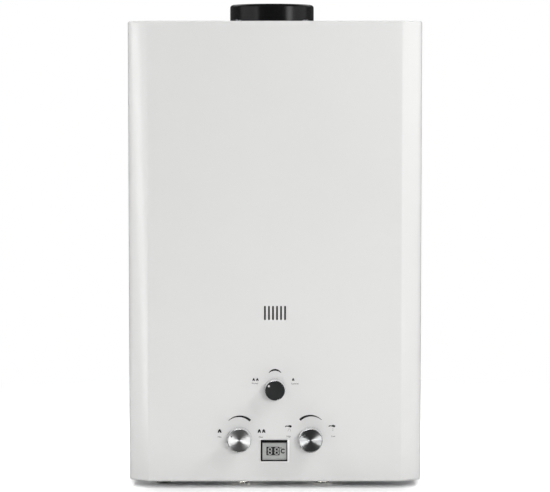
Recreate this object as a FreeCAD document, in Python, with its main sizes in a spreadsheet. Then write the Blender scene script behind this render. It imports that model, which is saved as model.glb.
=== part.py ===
"""Tankless propane water heater for outdoor use, hung on a wall.

Millimetres. The origin is on the wall plane, at the centre of the four wall screws.
+Z is up, +X is to the right of someone who faces the heater, and the front faces -Y.
Heights that end in _level are measured up from the bottom edge of the case, and those
that end in _drop are measured down from an upper edge.
"""

import FreeCAD, Part
import math
import os

import Sketcher

App = FreeCAD
Vector = App.Vector

SIZES = {
    # case
    "case_width": 380, "case_height": 596, "case_depth": 165, "sheet_thickness": 1.0, "panel_fit": 0.3,
    "corner_width": 26, "corner_depth": 15, "corner_radius": 12, "crease_radius": 5, "rim_radius": 2.5,
    "lip_width": 12, "wall_gap": 2, "flange_depth": 20,
    # wall fixing
    "wall_screw_inset": 30, "wall_screw_drop": 38, "wall_screw_radius": 3.5,
    "keyhole_span": 120, "keyhole_drop": 30, "keyhole_radius": 6, "keyhole_neck": 3,
    # screws
    "screw_radius": 2, "screw_head_radius": 4, "screw_head_height": 2.4, "screw_length": 8, "screw_fit": 0.15,
    "screw_head_round": 1.08, "recess_reach": 2.2, "recess_half_width": 0.56, "recess_depth": 1.44,
    "side_screw_setback": 11, "side_screw_inset": 60, "panel_screw_span": 250,
    # vents in the end panels
    "vent_radius": 2.3, "vent_length": 60, "vent_pitch": 10.4, "vent_inset": 34, "vent_count": 6,
    "air_slot_length": 64, "air_slot_front_gap": 43, "air_slot_inset": 5.2, "air_slot_count": 7,
    # flue collar
    "flue_radius": 55, "flue_offset": 4, "flue_height": 23, "flue_wall": 1.2, "flue_rim": 4, "flue_lip": 6,
    "flue_flange_width": 13, "flue_screw_gap": 6.5,
    # flame window
    "sight_level": 220, "slot_height": 18.6, "slot_width": 2.3, "slot_pitch": 5.2, "slot_count": 6,
    "glass_width": 44, "glass_height": 32, "glass_thickness": 2, "frame_border": 3,
    # display
    "display_level": 39.6, "display_offset": 0.9, "bezel_width": 37.5, "bezel_height": 28.5,
    "bezel_border": 3.0, "bezel_proud": 1.8, "bezel_flange": 1.2, "bezel_depth": 9, "bezel_fit": 0.4,
    "bezel_edge_radius": 0.9, "lcd_thickness": 2, "lcd_recess": 2.4, "lcd_fit": 0.08,
    "board_thickness": 1.6, "chip_width": 17, "chip_height": 12,
    # knobs and their shafts
    "knob_level": 56.5, "knob_span": 92, "season_level": 121.5, "knob_radius": 16.0,
    "season_knob_radius": 13.8, "knob_length": 18, "knob_gap": 1.5, "knob_wall": 1.6,
    "knob_face_border": 0.5, "knob_face_thickness": 1.2, "knob_draft": 0.9, "knob_edge_radius": 0.2,
    "hub_radius": 7, "dot_radius": 1.1, "dot_depth": 0.4, "gas_dot_inset": 4.3, "water_dot_inset": 6.2,
    "season_dot_inset": 3.8, "gas_dot_angle": 152, "water_dot_angle": 138, "season_dot_angle": 144,
    "shaft_radius": 4, "shaft_fit": 0.08, "shaft_reach": 13, "shaft_bearing": 30, "shaft_hole": 7,
    "shaft_chamfer": 0.4, "shaft_end_gap": 0.32, "shaft_taper": 2, "shaft_taper_length": 4,
    "season_shaft_radius": 3, "season_bearing": 18,
    # valves
    "valve_standoff": 47, "valve_depth": 84, "valve_floor_level": 24, "valve_roof_level": 98,
    "casting_radius": 5, "gas_valve_reach": 25, "water_valve_reach": 31, "boss_radius": 12, "boss_length": 12,
    "way_length": 33, "outlet_shift": 13, "outlet_depth": 6.5, "outlet_boss_wall": 3, "outlet_boss_height": 5,
    # ports
    "port_inset": 18, "gas_port_shift": 2, "cold_port_shift": 18, "port_radius": 10.5, "thread_depth": 0.5,
    "port_bore": 7, "port_drop": 20, "port_chamfer": 1, "port_hole_gap": 2.5, "port_flange_width": 2.5,
    "port_flange_height": 6, "nut_wall": 3, "nut_height": 5, "nut_chamfer_run": 8, "filter_wall": 0.5,
    "filter_fit": 0.2, "filter_recess": 1, "filter_height": 26,
    "drain_inset": 15, "drain_depth": 38, "drain_radius": 9, "drain_stem": 4, "drain_stem_length": 5,
    "drain_way_length": 24, "drain_shoulder": 7, "drain_collar": 8, "drain_drop": 8, "drain_fit": 0.5,
    # link between the water valve and the gas valve
    "link_depth": 38, "link_level": 62, "link_offset": 3, "link_length": 36, "link_gap": 12,
    "housing_radius": 27, "cavity_radius": 22, "cavity_depth": 8, "housing_wall": 2, "diaphragm_thickness": 2,
    "rod_radius": 2.5, "rod_fit": 0.08, "plate_radius": 18, "plate_thickness": 1.5, "collar_radius": 5,
    "collar_length": 2.5, "collar_inset": 1.5, "plug_radius": 9, "plug_thickness": 4, "plug_gap": 0.2,
    "seat_bore": 6, "seat_depth": 12, "seat_land": 9, "chamber_radius": 12, "chamber_length": 24,
    "spring_radius": 7, "spring_wire": 0.9, "spring_turn_count": 5, "spring_segment": 0.25, "cap_radius": 15,
    "cap_proud": 2, "cap_fit": 0.08, "post_radius": 3, "post_offset": 19,
    # micro switch on the gas valve
    "switch_length": 33, "switch_width": 12, "switch_height": 14, "switch_corner": 1.1,
    "lever_pivot_drop": 4, "lever_width": 5, "lever_thickness": 1, "lever_fit": 0.2, "lever_overlap": 1.5,
    "pivot_radius": 1, "pivot_eye": 2.2, "ear_thickness": 1.5,
    # gas train
    "solenoid_radius": 11, "solenoid_height": 26, "solenoid_inset": 14, "solenoid_neck": 8,
    "solenoid_neck_height": 4, "solenoid_cap": 7, "solenoid_cap_height": 3, "transfer_radius": 5,
    "transfer_bend": 9, "transfer_inset": 14.4, "sector_width": 40, "sector_depth": 30, "sector_height": 38,
    "manifold_inset": 4, "manifold_height": 18, "manifold_depth": 14, "manifold_lap": 15,
    "manifold_radius": 3, "nozzle_radius": 2.5, "nozzle_reach": 5, "nozzle_hole": 4,
    # burner
    "burner_level": 144, "burner_height": 62, "blade_count": 16, "blade_thickness": 8, "blade_wall": 0.8,
    "blade_side_gap": 7, "blade_inset": 6, "blade_mouth": 2.9, "blade_mouth_depth": 22, "blade_head": 2,
    "ledge_width": 8, "flame_port": 1.5, "flame_port_depth": 4, "flame_port_count": 12, "flame_margin": 11,
    # heat exchanger
    "exchanger_side_gap": 75, "exchanger_front_gap": 28, "exchanger_back_gap": 27, "exchanger_head_gap": 100,
    "exchanger_sheet": 1.0, "tube_radius": 7, "tube_wall": 0.8, "tube_gap": 0.2, "tube_bend": 20,
    "tube_row_count": 5, "tube_margin": 11, "tube_reach": 2, "tube_tail": 6, "bend_share": 0.45,
    "fin_drop": 29, "fin_height": 42, "fin_count": 22, "fin_margin": 10, "fin_thickness": 0.8,
    "fin_clearance": 1.2, "turn_level": 256, "turn_rise": 66, "turn_slope": 6, "riser_gap": 30,
    "riser_level": 124, "hot_pipe_gap": 35, "window_width": 40, "window_height": 20,
    "bracket_width": 16, "bracket_thickness": 2, "bracket_inset": 20,
    # draft hood
    "hood_rise": 62, "hood_lip": 2.5, "hood_shoulder": 10.5, "hood_sheet": 0.8, "neck_gap": 1.3,
    "neck_fit": 0.6, "neck_reach": 8,
    # ignition and sensors
    "electrode_offset": 46, "sensor_offset": 40, "electrode_level": 212, "insulator_radius": 3.5,
    "insulator_length": 26, "insulator_proud": 14, "electrode_radius": 1.2, "electrode_reach": 34,
    "electrode_hook": 6, "electrode_dip": 3, "electrode_bend": 3.5, "cutout_radius": 8, "cutout_height": 9,
    "cutout_flange": 1.5, "cutout_flange_height": 2, "cutout_drop": 96, "clip_level": 66, "clip_width": 10,
    "clip_thickness": 1.2, "probe_radius": 3, "probe_length": 12, "probe_lap": 1.2,
    # control box
    "control_inset": 14, "control_width": 76, "control_depth": 38, "control_level": 62, "control_height": 78,
    "control_radius": 3, "lid_inset": 4, "lid_height": 1.5,
    # battery box
    "battery_inset": 60, "battery_front_gap": 53, "cell_radius": 17.1, "cell_length": 60, "cell_fit": 0.4,
    "cell_button": 4.8, "cell_button_height": 1.5, "battery_wall": 2, "battery_corner": 1.6,
    "battery_headroom": 9, "contact_radius": 6, "contact_taper": 1.0, "contact_ring_count": 3,
    "door_thickness": 2.2, "door_margin": 3, "door_fit": 0.4, "door_hinge_radius": 2.2,
    "door_pin_radius": 1.2, "door_pin_fit": 0.08, "door_hinge_length": 14, "ear_width": 3,
    "catch_width": 14, "catch_height": 6, "catch_thickness": 1.5, "catch_root": 0.5,
    # leads
    "lead_radius": 1.5, "lead_bend": 7, "lead_wall_gap": 20, "lead_room": 5, "lead_dip": 14,
    "spark_lead_gap": 9, "flame_lead_gap": 15, "flame_lead_lift": 10, "battery_lead_rise": 12,
    "display_lead_shift": 9, "display_lead_dip": 4, "display_lead_reach": 12, "display_lead_inset": 10,
}

# Two places closer than this count as one, tools that cut through a wall pass it by overrun, and a
# carried tube's volume may differ by this share.
near = 1e-3
overrun = 1.0
volume_slack = 0.01

doc = App.newDocument("water_heater")
sheet = doc.addObject("Spreadsheet::Sheet", "sizes")
for row, (alias, number) in enumerate(SIZES.items(), start=1):
    sheet.set(f"A{row}", alias)
    sheet.set(f"B{row}", str(number))
    sheet.setAlias(f"B{row}", alias)
doc.recompute()


class Size:
    """A number together with the spreadsheet expression that gives it."""

    def __init__(self, value, text):
        self.value = value
        self.text = text

    @staticmethod
    def of(number):
        return number if isinstance(number, Size) else Size(float(number), f"{float(number):.6f}")

    def joined(self, sign, other, value):
        return Size(value, f"({self.text} {sign} {other.text})")

    def __float__(self):
        return float(self.value)

    def __neg__(self):
        return Size(-self.value, f"(-1 * {self.text})")

    def __add__(self, other):
        other = Size.of(other)
        return self.joined("+", other, self.value + other.value)

    def __sub__(self, other):
        other = Size.of(other)
        return self.joined("-", other, self.value - other.value)

    def __mul__(self, other):
        other = Size.of(other)
        return self.joined("*", other, self.value * other.value)

    def __truediv__(self, other):
        other = Size.of(other)
        return self.joined("/", other, self.value / other.value)

    def __radd__(self, other):
        return Size.of(other) + self

    def __rsub__(self, other):
        return Size.of(other) - self

    def __rmul__(self, other):
        return Size.of(other) * self


class Sizes:
    """Looks sizes up in the spreadsheet by name."""

    def __getattr__(self, alias):
        return Size(float(sheet.get(alias)), f"sizes.{alias}")

    def count(self, alias):
        return int(sheet.get(alias))


s = Sizes()
nodes = []

# Shared places.
half_width = s.case_width / 2
bottom = -s.case_height / 2
top = s.case_height / 2
front = -s.case_depth
front_inside = front + s.sheet_thickness
chassis_half = half_width - s.sheet_thickness - s.panel_fit
panel_floor = bottom + s.sheet_thickness
panel_roof = top - s.sheet_thickness
gas_x = -s.knob_span / 2
water_x = s.knob_span / 2
knob_z = bottom + s.knob_level
season_z = bottom + s.season_level
knob_back = front - s.knob_gap
valve_front = front + s.valve_standoff
valve_back = valve_front + s.valve_depth
valve_floor = bottom + s.valve_floor_level
valve_roof = bottom + s.valve_roof_level
boss_front = valve_front - s.boss_length
link_y = valve_front + s.link_depth
link_z = bottom + s.link_level
gas_valve_left = gas_x - s.gas_valve_reach
gas_valve_right = -s.link_offset - s.link_length / 2
water_valve_left = -s.link_offset + s.link_length / 2
water_valve_right = water_x + s.water_valve_reach
seat_x = gas_valve_right - s.seat_depth - s.seat_land
port_y = valve_back - s.port_inset
port_end = bottom - s.port_drop
port_neck = s.port_radius - s.thread_depth
nut_floor = panel_floor - s.nut_height
exchanger_half = half_width - s.exchanger_side_gap
exchanger_front = front + s.exchanger_front_gap
exchanger_back = -s.exchanger_back_gap
exchanger_depth = exchanger_back - exchanger_front
burner_floor = bottom + s.burner_level
burner_roof = burner_floor + s.burner_height
exchanger_roof = top - s.exchanger_head_gap
shell_radius = s.tube_bend - s.tube_radius - s.tube_gap
fin_z = exchanger_roof - s.fin_drop
flue_x = -s.flue_offset
flue_y = (exchanger_front + exchanger_back) / 2
neck_radius = s.flue_radius - s.flue_wall - s.neck_gap
manifold_roof = burner_floor + s.manifold_lap
manifold_floor = manifold_roof - s.manifold_height
nozzle_z = manifold_floor + s.manifold_height / 2
sector_front = exchanger_front - s.manifold_depth
gas_port_x = gas_x + s.gas_port_shift
cold_port_x = water_x + s.cold_port_shift
hot_port_x = -(exchanger_half + s.hot_pipe_gap)
drain_x = water_valve_left + s.drain_inset
drain_y = valve_front + s.drain_depth
control_right = half_width - s.control_inset
control_left = control_right - s.control_width
battery_x = s.battery_inset - half_width
battery_y = front + s.battery_front_gap
lead_y = -s.lead_wall_gap


# Helpers.
def bind(thing, path, size):
    """Sets one property of an object from a size."""
    size = Size.of(size)
    thing.setExpression(path, size.text)


def place(thing, x=0, y=0, z=0, rotation=None):
    """Puts an object at a point whose coordinates are sizes."""
    point = Vector(float(x), float(y), float(z))
    thing.Placement = App.Placement(point, rotation or App.Rotation())
    for letter, coordinate in zip("xyz", (x, y, z)):
        if isinstance(coordinate, Size):
            bind(thing, f"Placement.Base.{letter}", coordinate)
    return thing


def node(thing, name):
    """Gives a finished sub-part the name of its file."""
    thing.Label = name
    nodes.append(thing)
    return thing


def part(kind, name):
    return doc.addObject("Part::" + kind, name)


TURN = {
    "X": App.Rotation(Vector(0, 1, 0), 90),
    "Y": App.Rotation(Vector(1, 0, 0), -90),
    "Z": App.Rotation(),
}


def box(name, x0, x1, y0, y1, z0, z1):
    """A block between two corners."""
    made = part("Box", name)
    for path, low, high in (("Length", x0, x1), ("Width", y0, y1), ("Height", z0, z1)):
        bind(made, path, Size.of(high) - low)
    return place(made, x0, y0, z0)


def rod(name, radius, axis, x, y, z, length):
    """A cylinder that starts at a point and runs along +X, +Y or +Z."""
    made = part("Cylinder", name)
    bind(made, "Radius", radius)
    bind(made, "Height", length)
    return place(made, x, y, z, TURN[axis])


def fuse(name, shapes):
    made = part("MultiFuse", name)
    made.Shapes = shapes
    made.Refine = True
    return made


def cut(name, base, tools):
    made = part("Cut", name)
    made.Base = base
    made.Tool = tools[0] if len(tools) == 1 else compound(name + "_tools", tools)
    return made


def copy_of(thing, name, x):
    """The same solid again, moved along X."""
    made = doc.addObject("App::Link", name)
    made.LinkedObject = thing
    made.LinkTransform = True
    made.Placement.Base = Vector(float(x), 0, 0)
    bind(made, "Placement.Base.x", x)
    return made


def compound(name, shapes):
    made = part("Compound", name)
    made.Links = shapes
    return made


def rounded(name, base, radius, wanted):
    """Rounds the edges of a Part object that the test picks out."""
    doc.recompute()
    made = part("Fillet", name)
    made.Base = base
    size = float(radius)
    picked = [i + 1 for i, edge in enumerate(base.Shape.Edges) if wanted(edge)]
    made.Edges = [(i, size, size) for i in picked]
    return made


def runs_along(axis):
    """A test for straight edges that run along X, Y or Z."""
    index = "XYZ".index(axis)

    def test(edge):
        if not isinstance(edge.Curve, Part.Line):
            return False
        return abs(abs(edge.tangentAt(edge.FirstParameter)[index]) - 1) < near

    return test


def new_body(name):
    return doc.addObject("PartDesign::Body", name)


def new_sketch(body, plane, offset=0):
    """A sketch on one of the body's own planes, moved along the plane's normal."""
    sketch = body.newObject("Sketcher::SketchObject", body.Name + "_sketch")
    support = next(f for f in body.Origin.OriginFeatures if f.Role == plane + "_Plane")
    sketch.AttachmentSupport = (support, [""])
    sketch.MapMode = "FlatFace"
    sketch.AttachmentOffset = App.Placement(Vector(0, 0, float(offset)), App.Rotation())
    if isinstance(offset, Size):
        bind(sketch, "AttachmentOffset.Base.z", offset)
    return sketch


def pin_point(sketch, geometry, end, x, y):
    """Fixes one point of a sketch at coordinates that are sizes."""
    for kind, coordinate in (("DistanceX", x), ("DistanceY", y)):
        made = sketch.addConstraint(Sketcher.Constraint(kind, -1, 1, geometry, end, float(coordinate)))
        if isinstance(coordinate, Size):
            bind(sketch, f"Constraints[{made}]", coordinate)


def draw_outline(sketch, corners):
    """A closed outline of straight lines through corners whose coordinates are sizes."""
    points = [Vector(float(x), float(y), 0) for x, y in corners]
    count = len(points)
    first = sketch.GeometryCount
    lines = [Part.LineSegment(points[i], points[(i + 1) % count]) for i in range(count)]
    sketch.addGeometry(lines, False)
    joints = [
        Sketcher.Constraint("Coincident", first + i, 2, first + (i + 1) % count, 1) for i in range(count)
    ]
    sketch.addConstraint(joints)
    for i, (x, y) in enumerate(corners):
        pin_point(sketch, first + i, 1, x, y)
    return first


def draw_box(sketch, x0, x1, y0, y1):
    return draw_outline(sketch, [(x0, y0), (x1, y0), (x1, y1), (x0, y1)])


def draw_circle(sketch, x, y, radius):
    circle = Part.Circle(Vector(float(x), float(y), 0), Vector(0, 0, 1), float(radius))
    made = sketch.addGeometry(circle, False)
    pin_point(sketch, made, 3, x, y)
    size = sketch.addConstraint(Sketcher.Constraint("Radius", made, float(radius)))
    bind(sketch, f"Constraints[{size}]", radius)
    return made


def draw_slot(sketch, x, y0, y1, radius):
    """An upright slot with round ends, from end to end between y0 and y1."""
    low, high, r = float(y0) + float(radius), float(y1) - float(radius), float(radius)
    x_mid = float(x)
    up, half_turn = Vector(0, 0, 1), math.pi
    arc_top = Part.ArcOfCircle(Part.Circle(Vector(x_mid, high, 0), up, r), 0, half_turn)
    arc_low = Part.ArcOfCircle(Part.Circle(Vector(x_mid, low, 0), up, r), half_turn, 2 * half_turn)
    left = Part.LineSegment(Vector(x_mid - r, high, 0), Vector(x_mid - r, low, 0))
    right = Part.LineSegment(Vector(x_mid + r, low, 0), Vector(x_mid + r, high, 0))
    a = sketch.addGeometry([arc_top, left, arc_low, right], False)[0]
    sketch.addConstraint([
        Sketcher.Constraint("Tangent", a, 2, a + 1, 1),
        Sketcher.Constraint("Tangent", a + 1, 2, a + 2, 1),
        Sketcher.Constraint("Tangent", a + 2, 2, a + 3, 1),
        Sketcher.Constraint("Tangent", a + 3, 2, a, 1),
    ])
    pin_point(sketch, a, 3, x, Size.of(y1) - radius)
    made = sketch.addConstraint(Sketcher.Constraint("DistanceY", -1, 1, a + 2, 3, low))
    bind(sketch, f"Constraints[{made}]", Size.of(y0) + radius)
    made = sketch.addConstraint(Sketcher.Constraint("Radius", a, r))
    bind(sketch, f"Constraints[{made}]", radius)


def pad(body, sketch, length, reverse=False):
    made = body.newObject("PartDesign::Pad", body.Name + "_pad")
    made.Profile = sketch
    bind(made, "Length", length)
    made.Reversed = reverse
    return made


def pocket(body, sketch, length, reverse=False):
    """Removes the sketch's shape. It has to remove something, or the side is wrong."""
    doc.recompute()
    before = body.Shape.Volume
    made = body.newObject("PartDesign::Pocket", body.Name + "_pocket")
    made.Profile = sketch
    bind(made, "Length", length)
    made.Reversed = reverse
    doc.recompute()
    if body.Shape.Volume > before - near:
        raise RuntimeError(f"a pocket of {body.Name} removes nothing")
    return made


def repeat(body, feature, sketch, length, alias):
    """Repeats a feature across its sketch, as often as the named size says."""
    made = body.newObject("PartDesign::LinearPattern", body.Name + "_pattern")
    made.Originals = [feature]
    made.Direction = (sketch, ["H_Axis"])
    bind(made, "Length", length)
    made.Occurrences = s.count(alias)
    made.setExpression("Occurrences", f"sizes.{alias}")
    body.Tip = made


def fillet(body, radius, wanted):
    """Rounds the edges of a body that the test picks out."""
    doc.recompute()
    base = body.Tip
    names = [f"Edge{i + 1}" for i, edge in enumerate(base.Shape.Edges) if wanted(edge)]
    if not names:
        raise RuntimeError(f"a fillet of {body.Name} finds no edge")
    made = body.newObject("PartDesign::Fillet", body.Name + "_fillet")
    made.Base = (base, names)
    bind(made, "Radius", radius)
    return made


def hollow(body, wall, wanted):
    """Turns a body into a shell, open at the faces that the test picks out."""
    doc.recompute()
    base = body.Tip
    names = [f"Face{i + 1}" for i, face in enumerate(base.Shape.Faces) if wanted(face)]
    made = body.newObject("PartDesign::Thickness", body.Name + "_shell")
    made.Base = (base, names)
    bind(made, "Value", wall)
    made.Reversed = True
    made.Join = 1
    return made


def flat_at(axis, level):
    """A test for flat faces that lie across X, Y or Z at a level."""
    index = "XYZ".index(axis)

    def test(face):
        if not isinstance(face.Surface, Part.Plane):
            return False
        bounds = face.BoundBox
        low = (bounds.XMin, bounds.YMin, bounds.ZMin)[index]
        high = (bounds.XMax, bounds.YMax, bounds.ZMax)[index]
        return high - low < near and abs(low - float(level)) < near

    return test


def turned(name, outline, axis="Z", x=0, y=0, z=0):
    """A turned piece. The outline gives (radius, place along the axis) pairs."""
    body = new_body(name)
    along_x = axis == "X"
    sketch = new_sketch(body, "XZ" if axis == "Z" else "XY")
    draw_outline(sketch, [(b, a) if along_x else (a, b) for a, b in outline])
    made = body.newObject("PartDesign::Revolution", name + "_turn")
    made.Profile = sketch
    made.ReferenceAxis = (sketch, ["H_Axis" if along_x else "V_Axis"])
    made.Angle = 360
    place(body, x, y, z)
    return body


def swept(wire, radius, bore=0):
    """A round section, solid or hollow, carried along a wire. Its volume has to be section times length."""
    start = wire.OrderedVertexes[0].Point
    normal = wire.OrderedEdges[0].tangentAt(wire.OrderedEdges[0].FirstParameter)

    def carried(size):
        ring = Part.Wire([Part.Circle(start, normal, float(size)).toShape()])
        return wire.makePipeShell([ring], True, False)

    solid = carried(radius)
    section = math.pi * float(radius) ** 2
    if abs(solid.Volume - section * wire.Length) > volume_slack * solid.Volume:
        raise RuntimeError("a tube's volume isn't its section times its length")
    return solid.cut(carried(bore)) if bore else solid


def pipe(name, points, radius, bend, bore=0):
    """A round tube along straight runs joined by arcs that touch both runs."""
    corners = [Vector(*(float(c) for c in point)) for point in points]
    edges = []
    start = corners[0]
    for before, corner, after in zip(corners, corners[1:], corners[2:]):
        back, ahead = before - corner, after - corner
        half_turn = (math.pi - back.getAngle(ahead)) / 2
        shorter = min(back.Length, ahead.Length)
        reach = min(float(bend) * math.tan(half_turn), float(s.bend_share) * shorter)
        back.normalize()
        ahead.normalize()
        arc_radius = reach / math.tan(half_turn)
        middle = (back + ahead).normalize() * (arc_radius / math.cos(half_turn) - arc_radius)
        arc_start, arc_end = corner + back * reach, corner + ahead * reach
        edges.append(Part.LineSegment(start, arc_start).toShape())
        edges.append(Part.Arc(arc_start, corner + middle, arc_end).toShape())
        start = arc_end
    edges.append(Part.LineSegment(start, corners[-1]).toShape())
    made = part("Feature", name)
    made.Shape = swept(Part.Wire(edges), radius, bore)
    return made


def screw(name, x, y, z, axis, outward):
    """A pan-head screw with a cross recess. Its head stands out of the point, along or against the axis."""
    index = "XYZ".index(axis)
    point = [x, y, z]

    def moved(distance):
        shifted = list(point)
        shifted[index] = Size.of(shifted[index]) + distance
        return shifted

    height, depth = s.screw_head_height, s.recess_depth
    head = rod(name + "_head", s.screw_head_radius, axis, *moved(0 if outward > 0 else -height), height)
    shank = rod(name + "_shank", s.screw_radius, axis, *moved(-s.screw_length if outward > 0 else 0),
                s.screw_length)
    body = fuse(name + "_blank", [head, shank])
    crown = float(moved(height * outward)[index])

    def crown_edge(edge):
        wide = isinstance(edge.Curve, Part.Circle) and edge.Curve.Radius > float(s.screw_radius) + near
        return wide and abs(edge.CenterOfMass[index] - crown) < near

    body = rounded(name + "_round", body, s.screw_head_round, crown_edge)
    low = moved(height - depth if outward > 0 else -height)
    slots = []
    for number in range(2):
        spans = []
        for i in range(3):
            if i == index:
                spans += [low[i], Size.of(low[i]) + depth]
            else:
                long_way = (i == (index + 1) % 3) == (number == 0)
                reach = s.recess_reach if long_way else s.recess_half_width
                spans += [Size.of(point[i]) - reach, Size.of(point[i]) + reach]
        slots.append(box(f"{name}_slot{number}", *spans))
    return cut(name, body, slots)


# Case.
def cover_outline(inset, back):
    """The case seen from above: flat front, slanted front corners, straight sides."""
    side, face = half_width - inset, front + inset
    slope = math.atan2(float(s.corner_depth), float(s.corner_width))
    corner_y = front + s.corner_depth + inset * math.tan((math.pi / 2 - slope) / 2)
    corner_x = half_width - s.corner_width - inset * math.tan(slope / 2)
    left = [(-side, back), (-side, corner_y), (-corner_x, face)]
    return left + [(-x, y) for x, y in reversed(left)]


def front_cover():
    """Drawn steel cover: front, sides and narrow lips at top and bottom, open at the back."""
    body = new_body("front_cover")
    sketch = new_sketch(body, "XY", bottom)
    draw_outline(sketch, cover_outline(0, -s.wall_gap))
    pad(body, sketch, s.case_height)
    slope_start = float(front + s.corner_depth)

    def corner(edge):
        return runs_along("Z")(edge) and abs(edge.CenterOfMass.y - slope_start) < near

    def crease(edge):
        return runs_along("Z")(edge) and abs(edge.CenterOfMass.y - float(front)) < near

    def rim(edge):
        bounds = edge.BoundBox
        level = bounds.ZMax - bounds.ZMin < near and abs(abs(bounds.ZMin) - float(top)) < near
        return level and bounds.YMin < float(-s.wall_gap - s.sheet_thickness)

    fillet(body, s.corner_radius, corner)
    fillet(body, s.crease_radius, crease)
    fillet(body, s.rim_radius, rim)
    hollow(body, s.sheet_thickness, flat_at("Y", -s.wall_gap))
    mouth = new_sketch(body, "XY", bottom)
    draw_outline(mouth, cover_outline(s.lip_width, 0))
    pocket(body, mouth, s.case_height, reverse=True)

    slots = new_sketch(body, "XZ", s.case_depth)
    first_slot = -s.slot_pitch * (s.count("slot_count") - 1) / 2
    middle = bottom + s.sight_level
    draw_slot(slots, first_slot, middle - s.slot_height / 2, middle + s.slot_height / 2, s.slot_width / 2)
    first = pocket(body, slots, s.sheet_thickness * 2)
    repeat(body, first, slots, -first_slot * 2, "slot_count")
    holes = new_sketch(body, "XZ", s.case_depth)
    draw_circle(holes, gas_x, knob_z, s.shaft_hole)
    draw_circle(holes, water_x, knob_z, s.shaft_hole)
    draw_circle(holes, 0, season_z, s.shaft_hole)
    window_x, window_z = bezel_middle()
    half_x, half_z = s.bezel_width / 2 - s.bezel_flange, s.bezel_height / 2 - s.bezel_flange
    draw_box(holes, window_x - half_x, window_x + half_x, window_z - half_z, window_z + half_z)
    pocket(body, holes, s.sheet_thickness * 2)
    side_screw_holes(body)
    node(body, "front_cover")


def side_screw_holes(body):
    """Clearance holes through both sides for the screws that join cover and back panel."""
    sides = new_sketch(body, "YZ", -half_width)
    for z in side_screw_levels():
        draw_circle(sides, -s.side_screw_setback, z, s.screw_radius + s.screw_fit)
    pocket(body, sides, s.case_width, reverse=True)


def side_screw_levels():
    return bottom + s.side_screw_inset, top - s.side_screw_inset


def panel_screw_places():
    return -s.panel_screw_span / 2, s.panel_screw_span / 2


def rear_panel():
    """Back plate with a flange all round, which carries everything and hangs on the wall."""
    body = new_body("rear_panel")
    low, high = panel_floor + s.sheet_thickness, panel_roof - s.sheet_thickness
    sketch = new_sketch(body, "XZ")
    draw_box(sketch, -chassis_half, chassis_half, low, high)
    pad(body, sketch, s.flange_depth)
    fillet(body, s.rim_radius, runs_along("Y"))
    hollow(body, s.sheet_thickness, flat_at("Y", -s.flange_depth))
    holes = new_sketch(body, "XZ")
    screw_x, screw_z = half_width - s.wall_screw_inset, top - s.wall_screw_drop
    for x in (-screw_x, screw_x):
        for z in (-screw_z, screw_z):
            draw_circle(holes, x, z, s.wall_screw_radius)
    level = top - s.keyhole_drop
    for x in (-s.keyhole_span / 2, s.keyhole_span / 2):
        draw_circle(holes, x, level, s.keyhole_radius)
    pocket(body, holes, s.sheet_thickness * 2, reverse=True)
    necks = new_sketch(body, "XZ")
    for x in (-s.keyhole_span / 2, s.keyhole_span / 2):
        draw_slot(necks, x, level, level + s.keyhole_radius * 2, s.keyhole_neck)
    pocket(body, necks, s.sheet_thickness * 2, reverse=True)
    side_screw_holes(body)
    ends = new_sketch(body, "XY", bottom)
    for x in panel_screw_places():
        draw_circle(ends, x, -s.side_screw_setback, s.screw_radius + s.screw_fit)
    pocket(body, ends, s.case_height, reverse=True)
    node(body, "rear_panel")


def panel_blank(name, level):
    """A flat sheet that closes the top or the bottom inside the cover."""
    body = new_body(name)
    sketch = new_sketch(body, "XY", level)
    draw_outline(sketch, cover_outline(s.sheet_thickness + s.panel_fit + s.rim_radius / 2, 0))
    pad(body, sketch, s.sheet_thickness)
    return body


def top_panel():
    """Top sheet with the flue hole and two rows of vent slots."""
    level = panel_roof - s.sheet_thickness
    body = panel_blank("top_panel", level)
    holes = new_sketch(body, "XY", level)
    draw_circle(holes, flue_x, flue_y, neck_radius + s.neck_fit)
    for x in panel_screw_places():
        draw_circle(holes, x, -s.side_screw_setback, s.screw_radius + s.screw_fit)
    for x, y in flue_screw_places():
        draw_circle(holes, flue_x + x, flue_y + y, s.screw_radius + s.screw_fit)
    pocket(body, holes, s.sheet_thickness * 2, reverse=True)
    reach = s.vent_length / 2
    span = s.vent_pitch * (s.count("vent_count") - 1)
    outermost = half_width - s.vent_inset
    for start in (-outermost, outermost - span):
        vents = new_sketch(body, "XY", level)
        draw_slot(vents, start, flue_y - reach, flue_y + reach, s.vent_radius)
        first = pocket(body, vents, s.sheet_thickness * 2, reverse=True)
        repeat(body, first, vents, span, "vent_count")
    node(body, "top_panel")


def bottom_panel():
    """Bottom sheet with the holes for ports, drain, battery box and combustion air."""
    level = panel_floor
    body = panel_blank("bottom_panel", level)
    holes = new_sketch(body, "XY", level)
    for x in (gas_port_x, cold_port_x, hot_port_x):
        draw_circle(holes, x, port_y, port_neck + s.port_hole_gap)
    draw_circle(holes, drain_x, drain_y, s.drain_radius + s.drain_fit)
    for x in panel_screw_places():
        draw_circle(holes, x, -s.side_screw_setback, s.screw_radius + s.screw_fit)
    x0, x1, y0, y1 = battery_mouth()
    draw_box(holes, x0, x1, y0, door_hinge_y() + s.door_hinge_radius + s.door_fit)
    pocket(body, holes, s.sheet_thickness * 2, reverse=True)
    air = new_sketch(body, "XY", level)
    slot_y = front + s.air_slot_front_gap
    draw_slot(air, control_left + s.air_slot_inset, slot_y, slot_y + s.air_slot_length, s.vent_radius)
    first = pocket(body, air, s.sheet_thickness * 2, reverse=True)
    repeat(body, first, air, s.vent_pitch * (s.count("air_slot_count") - 1), "air_slot_count")
    node(body, "bottom_panel")


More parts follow.
